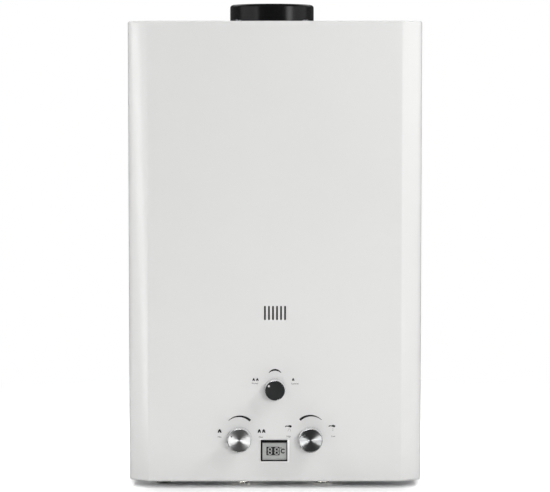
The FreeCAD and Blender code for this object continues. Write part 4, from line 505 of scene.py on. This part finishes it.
# lead is how far the closed end turns climb, in wire thicknesses
spring = dict(radius=7.0, wire=0.9, turns=6.5, endTurn=0.75, lead=0.9, travel=4.0)


def springPiece(name, low, high, look, steps=360, sides=12):
    # a round wire along X whose point at turn t stands at radius times (cos, sin) of the angle, with a pitch
    # that starts and ends flat: x follows a ramp that is level over the first and last end turn
    middle = (np.asarray(low) + np.asarray(high)) / 2
    wire, radius = spring["wire"] * mm, spring["radius"] * mm
    turn = np.linspace(0, spring["turns"], steps)
    ends = spring["endTurn"]
    share = np.clip((turn - ends) / (spring["turns"] - 2 * ends), 0, 1)
    inset = wire * (0.5 + np.clip(turn / ends, 0, 1) * spring["lead"])
    outset = wire * (0.5 + np.clip((spring["turns"] - turn) / ends, 0, 1) * spring["lead"])
    x = (low[0] + inset) * (1 - share) + (high[0] - outset) * share
    angle = turn * 2 * math.pi
    out = np.stack([0 * angle, np.cos(angle), np.sin(angle)], 1)
    path = out * radius + np.stack([x, 0 * x + middle[1], 0 * x + middle[2]], 1)
    around = np.linspace(0, 2 * math.pi, sides, endpoint=False)
    along = np.array([1.0, 0, 0])
    ring = np.cos(around)[None, :, None] * out[:, None] + np.sin(around)[None, :, None] * along
    verts = np.concatenate([(path[:, None] + ring * wire / 2).reshape(-1, 3), path[[0, -1]]])
    j, nextJ = ringSteps(sides)
    last, startPole, endPole = (steps - 1) * sides, steps * sides, steps * sides + 1
    faces = gridFaces(steps, sides)[:, ::-1].tolist()
    faces += np.stack([0 * j + startPole, j, nextJ], 1).tolist()
    faces += np.stack([last + nextJ, last + j, 0 * j + endPole], 1).tolist()
    return meshPiece(name, verts, faces, look, sharp=60)


springLow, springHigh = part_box("gas_spring")
coil = springPiece("gasSpring", springLow, springHigh, "stainless")
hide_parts("gas_spring")
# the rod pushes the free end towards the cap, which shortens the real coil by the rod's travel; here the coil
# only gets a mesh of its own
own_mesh(coil)
print("spring")


# flue collar

flue = dict(x=-4, y=-82, foot=297, radius=55, wall=1.2, mouth=49, flange=68, height=24, rim=4, sheetEdge=0.4,
            footEdge=0.9, mouthEdge=0.5)


def flueOutline():
    # from the inside of the foot out over the flange, up the wall, in over the rim and back inside
    wall, radius, height = flue["wall"], flue["radius"], flue["height"]
    flange, mouth, inside = flue["flange"], flue["mouth"], radius - wall
    points = [(inside, 0), (flange, 0), (flange, wall), (radius, wall), (radius, height), (mouth, height),
              (mouth, height - wall), (inside, height - wall)]
    edges = [0, flue["sheetEdge"], flue["sheetEdge"], flue["footEdge"], flue["rim"], flue["mouthEdge"],
             flue["mouthEdge"], flue["rim"] - wall]
    return softCorners(points, edges, steps=8)


collar = turnedPiece("flueCollar", flueOutline(), (flue["x"], flue["y"], flue["foot"]), (0, 0, 1),
                     "enamelBlack", steps=144)
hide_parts("flue_collar")
print("flue")


# display

# rectangles are (left, low, right, high). The wall stands proud of the front panel by proud mm, and of the
# trim by wallProud
display = dict(
    trimOuter=(-19.8, -273.0, 18.9, -243.0), trimInner=(-17.6, -270.6, 16.0, -244.2), trimCorner=1.2,
    # the wall is widest at the top and left, where its black is painted shadow in the recess
    wallOuter=(-18.5, -271.0, 16.1, -243.2), wallInner=(-16.4, -269.8, 15.4, -246.4), wallCorner=0.6,
    wallDepth=8.8, proud=1.8, recess=2.4, wallProud=0.12,
)
# the dark field, its two digits, and the unit's letter and ring
segments = dict(field=dict(x=-2.6, z=-258.0, halfX=8.6, halfZ=5.6, radius=0.8), digitX=-2.2, digitZ=-258.0,
                digit=dict(width=4.2, height=8.4, stroke=1.25, gap=0.15), pitch=8.7, rise=0.07,
                letter=dict(x=10.5, z=-258.0, radius=2.5, gap=42, stroke=1.6),
                ring=dict(x=7.7, z=-253.9, radius=0.8, gap=0.1, stroke=0.45))
faceY = frontY - display["proud"]
# the trim slopes up from the front panel to the wall, so its sides catch the light differently
proud, wallDepth = display["proud"], display["wallDepth"]
trimOutline = [(0, proud), (0.04, proud - 0.25), (0.96, 0.05), (1, 0.15), (1, proud)]
# the trim's pale colour is partly a painted highlight on its right side
trim = framePiece("displayTrim", trimOutline, display["trimOuter"], display["trimInner"],
                  display["trimCorner"], faceY + display["wallProud"], "trimWhiteHighlight")
wallOutline = [(0, wallDepth), (0, 0.05), (0.05, 0), (0.95, 0.02), (1, 0.12), (1, wallDepth)]
# its black is partly painted shadow along the top and left of the recess
innerWall = framePiece("displayWall", wallOutline, display["wallOuter"], display["wallInner"],
                       display["wallCorner"], faceY, "wallBlackShade")
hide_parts("display_bezel")


def roundedBox(x, z, halfX, halfZ, radius):
    # a rectangle round (x, z) with rounded corners
    left, low, right, high = x - halfX, z - halfZ, x + halfX, z + halfZ
    return softCorners([(left, low), (right, low), (right, high), (left, high)], [radius] * 4)


def bar(x0, z0, x1, z1, width):
    # a straight stroke with pointed ends, as a segment of a digit has
    start, end = np.array([x0, z0]), np.array([x1, z1])
    along = (end - start) / np.linalg.norm(end - start)
    across = np.array([-along[1], along[0]]) * width / 2
    tip = along * width / 2
    inStart, inEnd = start + tip, end - tip
    return np.array([start, inStart + across, inEnd + across, end, inEnd - across, inStart - across])


def digitEight(x, z, width, height, stroke, gap):
    # the seven segments of an 8: three level bars and two upright ones on each side, with a gap at each end
    w, h = width / 2, height / 2
    made = [bar(x - w + gap, z + k * h, x + w - gap, z + k * h, stroke) for k in (-1, 0, 1)]
    made += [bar(x + i * w, z + k * gap, x + i * w, z + k * (h - gap), stroke)
             for i in (-1, 1) for k in (-1, 1)]
    return made


def arcBand(x, z, radius, startDegrees, endDegrees, startWidth, endWidth, middleWidth=None, steps=32):
    # a band along an arc whose width runs from start to end, by way of the middle width where one is given
    t = np.linspace(0, 1, steps)
    angle = np.radians(startDegrees + (endDegrees - startDegrees) * t)
    width = startWidth + (endWidth - startWidth) * t
    if middleWidth is not None:
        width = width + (middleWidth - (startWidth + endWidth) / 2) * np.sin(math.pi * t)
    ray = np.stack([np.cos(angle), np.sin(angle)], 1)
    outer, inner = ray * (radius + width[:, None] / 2), ray * (radius - width[:, None] / 2)
    return np.concatenate([outer, inner[::-1]]) + [x, z]


def digitOutlines():
    # two eights, half a pitch to each side of their middle
    middles = [segments["digitX"] + k * segments["pitch"] for k in (-0.5, 0.5)]
    return [outline for x in middles for outline in digitEight(x, segments["digitZ"], **segments["digit"])]


def unitOutlines():
    # a letter C, open to the right, and a degree ring from two half arcs
    letter, ring = segments["letter"], segments["ring"]
    gap = ring["gap"]
    made = [arcBand(letter["x"], letter["z"], letter["radius"], letter["gap"], 360 - letter["gap"],
                    letter["stroke"], letter["stroke"])]
    for start, end in ((0, 180 - gap), (180 + gap, 360 - gap)):
        made.append(arcBand(ring["x"], ring["z"], ring["radius"], start, end, ring["stroke"], ring["stroke"],
                            steps=16))
    return made


glassY = faceY + display["recess"]
field = platePiece("lcdField", [roundedBox(**segments["field"])], glassY, "lcdDark")
digits = platePiece("lcdDigits", digitOutlines(), glassY - segments["rise"], "lcdLight")
unit = platePiece("lcdUnit", unitOutlines(), glassY, "printedWords")
print("display")


# printed marks

marks = dict(
    arcs=[dict(x=0, z=-161.9, radius=10.0, start=143, end=37, widths=(0.5, 0.5, 2.4)),
          dict(x=-46.2, z=-232.8, radius=20.3, start=134, end=46, widths=(0.6, 3.2, 2.1)),
          dict(x=46.4, z=-231.9, radius=20.3, start=134, end=46, widths=(3.2, 0.6, 2.1))],
    flames=[dict(x=-71.8, z=-231.5, size=(5.2, 5.4)), dict(x=-20.3, z=-231.5, size=(4.6, 5.4)),
            dict(x=-14.6, z=-231.5, size=(4.6, 5.4)), dict(x=-27.6, z=-164.3, size=(3.4, 4.2)),
            dict(x=-22.9, z=-164.3, size=(3.4, 4.2)), dict(x=23.5, z=-164.3, size=(3.4, 4.2))],
    taps=[dict(x=17.4, z=-225.5, drops=2), dict(x=73.8, z=-225.1, drops=1)],
    ink=dict(lift=0.03, half=0.02),
    water=dict(under=1.2, top=3.1, row=2.2, length=1.3, spread=1.3, lean=0.6, stroke=0.5),
    words=[dict(text="Min", x=-71.9, z=-239.6, size=3.2), dict(text="Max", x=-18.2, z=-239.8, size=3.2),
           dict(text="High", x=17.9, z=-238.8, size=3.1), dict(text="Low", x=75.5, z=-238.6, size=3.1),
           dict(text="Winter", x=-26.0, z=-169.6, size=2.9), dict(text="Summer", x=26.0, z=-170.0, size=2.9)],
)


def flameOutline(x, z, width, height):
    # a flame drawn as a chevron: a pointed top, two legs and a pointed notch between them
    shape = np.array([(0, 0.5), (0.36, 0.1), (0.5, -0.5), (0.12, -0.44), (0, -0.14), (-0.12, -0.44),
                      (-0.5, -0.5), (-0.36, 0.1)])
    return shape * (width, height) + (x, z)


def tapOutlines(x, z, drops):
    # a spout that thickens towards its handle, and two rows of short strokes of water that spread below it
    spout = np.array([(-4.4, -1.0), (-4.2, 0.1), (-2.9, 0.9), (-0.6, 0.5), (0.6, 1.3), (2.6, 1.5), (4.2, 0.6),
                      (4.3, -1.0), (3.0, -1.7), (1.2, -1.2), (-0.4, -0.5), (-2.8, -0.3), (-3.3, -1.1)])
    water = marks["water"]
    middle = x + water["under"]
    strokes = []
    for row in range(2):
        top = z - water["top"] - water["row"] * row
        for side in ((0,) if drops == 1 else (-0.5, 0.5)):
            start, end = (middle + water["spread"] * side * (row + 1 + lean) for lean in (0, water["lean"]))
            strokes.append(bar(start, top, end, top - water["length"], water["stroke"]))
    return [spout + (x, z)] + strokes


def arcOutline(x, z, radius, start, end, widths):
    # widths are those at the start, at the end and in the middle of the arc
    return arcBand(x, z, radius, start, end, *widths)


arcs = platePiece("markArcs", [arcOutline(**arc) for arc in marks["arcs"]], frontY, "printedInk")
flames = platePiece("markFlames", [flameOutline(f["x"], f["z"], *f["size"]) for f in marks["flames"]], frontY,
                    "printedInk")
taps = platePiece("markTaps", [o for tap in marks["taps"] for o in tapOutlines(**tap)], frontY, "printedInk")


def wordPiece(name, text, x, z, size):
    # one short word, centred, turned to face -Y and made a mesh: across becomes X, up becomes Z, and its
    # middle lies lift mm in front of the panel
    curve = bpy.data.curves.new(name, "FONT")
    curve.body, curve.size, curve.align_x, curve.align_y = text, size * mm, "CENTER", "CENTER"
    curve.extrude = marks["ink"]["half"] * mm
    source = bpy.data.objects.new(name + "Source", curve)
    bpy.context.scene.collection.objects.link(source)
    bpy.context.view_layer.update()
    mesh = bpy.data.meshes.new_from_object(source)
    flat = np.zeros(len(mesh.vertices) * 3)
    mesh.vertices.foreach_get("co", flat)
    across, up, out = flat.reshape(-1, 3).T
    placed = np.stack([across + x * mm, (frontY - marks["ink"]["lift"]) * mm - out, up + z * mm], 1)
    mesh.vertices.foreach_set("co", placed.ravel())
    mesh.materials.clear()
    mesh.materials.append(looks["printedWords"])
    mesh.name = name
    bpy.data.objects.remove(source)
    return placePiece(name, mesh, "heater")


words = [wordPiece("word" + word["text"], **word) for word in marks["words"]]
print("marks")


# room

# lengths in mm. The floor that the camera sees has the colour boost, and fades to white from whiteFrom to
# whiteBy. The one under it gives back light by bounce in front and albedo behind, and gloss by gloss in front
# and glossFloor behind, and changes over from frontEnd to backStart. Its low albedo below and behind the case
# is painted shade, a dark sheet that keeps the shadow there dark. The world lights by ambient, and mirrors
# show it as gloss in front and glossBehind behind
room = dict(floorZ=-318.6, under=1, reach=1400, whiteFrom=330, whiteBy=1120, boost=3.0, frontEnd=-220,
            backStart=-150, bounce=0.98, albedo=0.16, gloss=0.05, glossFloor=0.5, glossBehind=0.10,
            ambient=0.14)
eye = dict(distance=2900, height=207, aimZ=8.8, shownWidth=709.3)


def seenFace(tree, place):
    # brighter than paper, as an overexposed studio floor, and plain white away from the object
    far = addNode(tree, "ShaderNodeVectorMath", [(0, place, "Object")], "LENGTH")
    fade = addNode(tree, "ShaderNodeMapRange", [("Value", far, "Value")], From_Min=room["whiteFrom"] * mm,
                   From_Max=room["whiteBy"] * mm, interpolation_type="SMOOTHSTEP")
    paper = addNode(tree, "ShaderNodeBsdfDiffuse", Color=(room["boost"],) * 3 + (1,))
    white = addNode(tree, "ShaderNodeEmission", Strength=1.0)
    return addNode(tree, "ShaderNodeMixShader", [(0, fade, "Result"), (1, paper, 0), (2, white, 0)])


def bounceFace(tree, place):
    # more light and less gloss in front of the case than below and behind it; the dark floor below and behind
    # is painted shade
    rays = addNode(tree, "ShaderNodeLightPath")
    split = addNode(tree, "ShaderNodeSeparateXYZ", [("Vector", place, "Object")])
    tones = [addNode(tree, "ShaderNodeMapRange", [("Value", split, "Y")], From_Min=room["frontEnd"] * mm,
                     From_Max=room["backStart"] * mm, To_Min=room[front], To_Max=room[back])
             for front, back in (("bounce", "albedo"), ("gloss", "glossFloor"))]
    tone = addNode(tree, "ShaderNodeMix", [("Factor", rays, "Is Glossy Ray"), (2, tones[0], "Result"),
                                           (3, tones[1], "Result")], data_type="FLOAT")
    colour = addNode(tree, "ShaderNodeCombineXYZ", [(axis, tone, 0) for axis in "XYZ"])
    return addNode(tree, "ShaderNodeBsdfDiffuse", [("Color", colour, "Vector")])


def floorPaper(name, makeFace):
    # a sheet that is clear from below, so that the underside can be looked at
    made, tree, shader = shaderFor(name)
    tree.nodes.remove(shader)
    face = makeFace(tree, addNode(tree, "ShaderNodeTexCoord"))
    side = addNode(tree, "ShaderNodeNewGeometry")
    clear = addNode(tree, "ShaderNodeBsdfTransparent")
    sheet = addNode(tree, "ShaderNodeMixShader", [(0, side, "Backfacing"), (1, face, 0), (2, clear, 0)])
    tree.links.new(sheet.outputs["Shader"], tree.nodes["Material Output"].inputs["Surface"])
    return made


def stageFloor(name, height, seen):
    # a level sheet, either for the camera alone or for every other ray
    reach = room["reach"] * mm
    corners = [(x * reach, y * reach, height * mm) for x, y in ((-1, -1), (1, -1), (1, 1), (-1, 1))]
    mesh = bpy.data.meshes.new(name)
    mesh.from_pydata(corners, [], [(0, 1, 2, 3)])
    mesh.materials.append(floorPaper(name + "Paper", seenFace if seen else bounceFace))
    piece = bpy.data.objects.new(name, mesh)
    bpy.context.scene.collection.objects.link(piece)
    piece.visible_camera = seen
    for ray in ("diffuse", "glossy", "transmission", "shadow"):
        setattr(piece, "visible_" + ray, not seen)
    return piece


def linkedTo(name, pieces, state="INCLUDE"):
    # the pieces that a lamp lights, or with EXCLUDE the ones that it leaves out
    made = bpy.data.collections.new(name)
    for piece in pieces:
        made.objects.link(piece)
    for member in made.collection_objects:
        member.light_linking.link_state = state
    return made


def areaLight(name, at, size, power, mirrored=True, lit=True, aim=heaterMiddle, only=None, roll=0):
    # a softbox on a sphere round its aim: azimuth a is 0 in front and grows to the right, and at elevation e
    # its place is distance times (sin a cos e, -cos a cos e, sin e)
    a, e, distance = math.radians(at[0]), math.radians(at[1]), at[2]
    light = bpy.data.lights.new(name, "AREA")
    light.shape, light.energy = "RECTANGLE", power
    light.size, light.size_y = size[0] * mm, size[1] * mm
    lamp = bpy.data.objects.new(name, light)
    target = Vector(aim) * mm
    heading = Vector((math.sin(a) * math.cos(e), -math.cos(a) * math.cos(e), math.sin(e)))
    lamp.location = target + heading * distance * mm
    facing = (target - lamp.location).to_track_quat("-Z", "Y")
    lamp.rotation_euler = (facing @ Quaternion((0, 0, 1), math.radians(roll))).to_euler()
    bpy.context.scene.collection.objects.link(lamp)
    lamp.visible_camera, lamp.visible_glossy, lamp.visible_diffuse = False, mirrored, lit
    if only:
        lamp.light_linking.receiver_collection = only


def whiteRoom():
    # plain white for the camera and through glass; mirrors see a dim room, paler behind the heater than in
    # front of it, and the rest is lit by a dim one
    behindBy = 0.7  # of the way from sideways to straight back
    world = bpy.data.worlds.new("whiteRoom")
    bpy.context.scene.world = world
    world.use_nodes = True
    tree = world.node_tree
    rays = addNode(tree, "ShaderNodeLightPath")
    place = addNode(tree, "ShaderNodeTexCoord")
    heading = addNode(tree, "ShaderNodeSeparateXYZ", [("Vector", place, "Object")])
    behind = addNode(tree, "ShaderNodeMapRange", [("Value", heading, "Y")], From_Min=0.0, From_Max=behindBy,
                     To_Min=room["gloss"], To_Max=room["glossBehind"])
    mirror = addNode(tree, "ShaderNodeMix", [("Factor", rays, "Is Glossy Ray"), (3, behind, "Result")],
                     data_type="FLOAT", in2=room["ambient"])
    seen = addNode(tree, "ShaderNodeMath", [(0, rays, "Is Camera Ray"), (1, rays, "Is Transmission Ray")],
                   "MAXIMUM")
    tone = addNode(tree, "ShaderNodeMix", [("Factor", seen, "Value"), (2, mirror, 0)], data_type="FLOAT",
                   in3=1.0)
    background = tree.nodes["Background"]
    tree.links.new(tone.outputs[0], background.inputs["Strength"])
    setSockets(background, Color=(1, 1, 1, 1))


seenFloor = stageFloor("floor", room["floorZ"], True)
stageFloor("floorBounce", room["floorZ"] - room["under"], False)
whiteRoom()
onFloor = linkedTo("onFloor", [seenFloor])
offFloor = linkedTo("offFloor", [seenFloor], "EXCLUDE")
caseSheet = linkedTo("caseSheet", [cad["front_cover"]])
portTips = linkedTo("portTips", [cad["gas_inlet"], cad["cold_inlet"]])
knobSides = linkedTo("knobShells", knobShells)
knobFaces = linkedTo("spunFaces", spunFaces)
lowerKnobs, allKnobs = (0, -182, -241), (0, -182, -215)

# at is (azimuth, elevation, distance) in degrees and mm, and size is in mm. With mirrored=False a lamp shows
# in no gloss, and with lit=False in gloss alone
lamps = dict(
    # the key and the side fills
    keyFront=dict(at=(13, 9.3, 3000), size=(1200, 330), power=34, mirrored=False, only=offFloor),
    sideRight=dict(at=(64, 37, 1700), size=(1400, 450), power=17.5, mirrored=False, only=offFloor),
    sideLeft=dict(at=(-84, 37, 2200), size=(1500, 560), power=33, mirrored=False, only=offFloor),
    overhead=dict(at=(0, 78, 1900), size=(1500, 1500), power=1, mirrored=False, only=offFloor),
    backRight=dict(at=(145, 42, 2400), size=(1700, 1100), power=6, only=offFloor),
    backLeft=dict(at=(-145, 42, 2400), size=(1700, 1100), power=6, only=offFloor),
    # the seen floor has its own two: a low one whose light fades out under the case, and one above
    floorFront=dict(at=(0, 9.3, 3000), size=(420, 330), power=92, mirrored=False, only=onFloor),
    floorTop=dict(at=(0, 80, 1900), size=(1100, 1300), power=17, mirrored=False, only=onFloor),
    # cards for the gloss of the enamel
    stripRight=dict(at=(49, 6, 1900), size=(520, 1500), power=6.5, lit=False),
    stripLeft=dict(at=(-42, 6, 1900), size=(240, 1500), power=1.2, lit=False),
    # a leaning card: the crowned strip on the left shows it as a band that drifts inwards towards the bottom
    bandLeft=dict(at=(-62.4, 0, 761), size=(56, 630), power=0.36, lit=False, only=caseSheet, roll=8),
    cardRight=dict(at=(84, 14, 2200), size=(1900, 1200), power=3.4, lit=False),
    cardLeft=dict(at=(-70, 14, 2200), size=(1900, 1200), power=4.1, lit=False),
    # a long low card for the rims of the two ports that show under the case
    portFront=dict(at=(0, 3, 500), size=(1500, 40), power=8, lit=False, aim=(10, -82, -317), only=portTips),
    # low cards beside the knobs: their reflections fan out into the wedges of the spun faces
    wedgeRight=dict(at=(44, -1, 760), size=(260, 260), power=3.7, lit=False, aim=lowerKnobs, only=knobFaces),
    wedgeLeft=dict(at=(-44, -1, 760), size=(260, 260), power=3.7, lit=False, aim=lowerKnobs, only=knobFaces),
    # one more above them, for the upper rims of the knobs
    rimAbove=dict(at=(-25, 62, 900), size=(700, 500), power=6, lit=False, aim=allKnobs, only=knobSides),
)
for name, lamp in lamps.items():
    areaLight(name, **lamp)

sensor = 36  # mm
camera = bpy.data.cameras.new("camera")
cameraPiece = bpy.data.objects.new("camera", camera)
bpy.context.scene.collection.objects.link(cameraPiece)
cameraPiece.location = Vector((0, frontY - eye["distance"], eye["height"])) * mm
aim = Vector((0, frontY, eye["aimZ"])) * mm
cameraPiece.rotation_euler = (aim - cameraPiece.location).to_track_quat("-Z", "Y").to_euler()
camera.sensor_width = sensor
camera.lens = sensor * (aim - cameraPiece.location).length / (eye["shownWidth"] * mm)
camera.clip_end = 50
bpy.context.scene.camera = cameraPiece
bpy.context.scene.view_settings.view_transform = "Standard"
print("room")
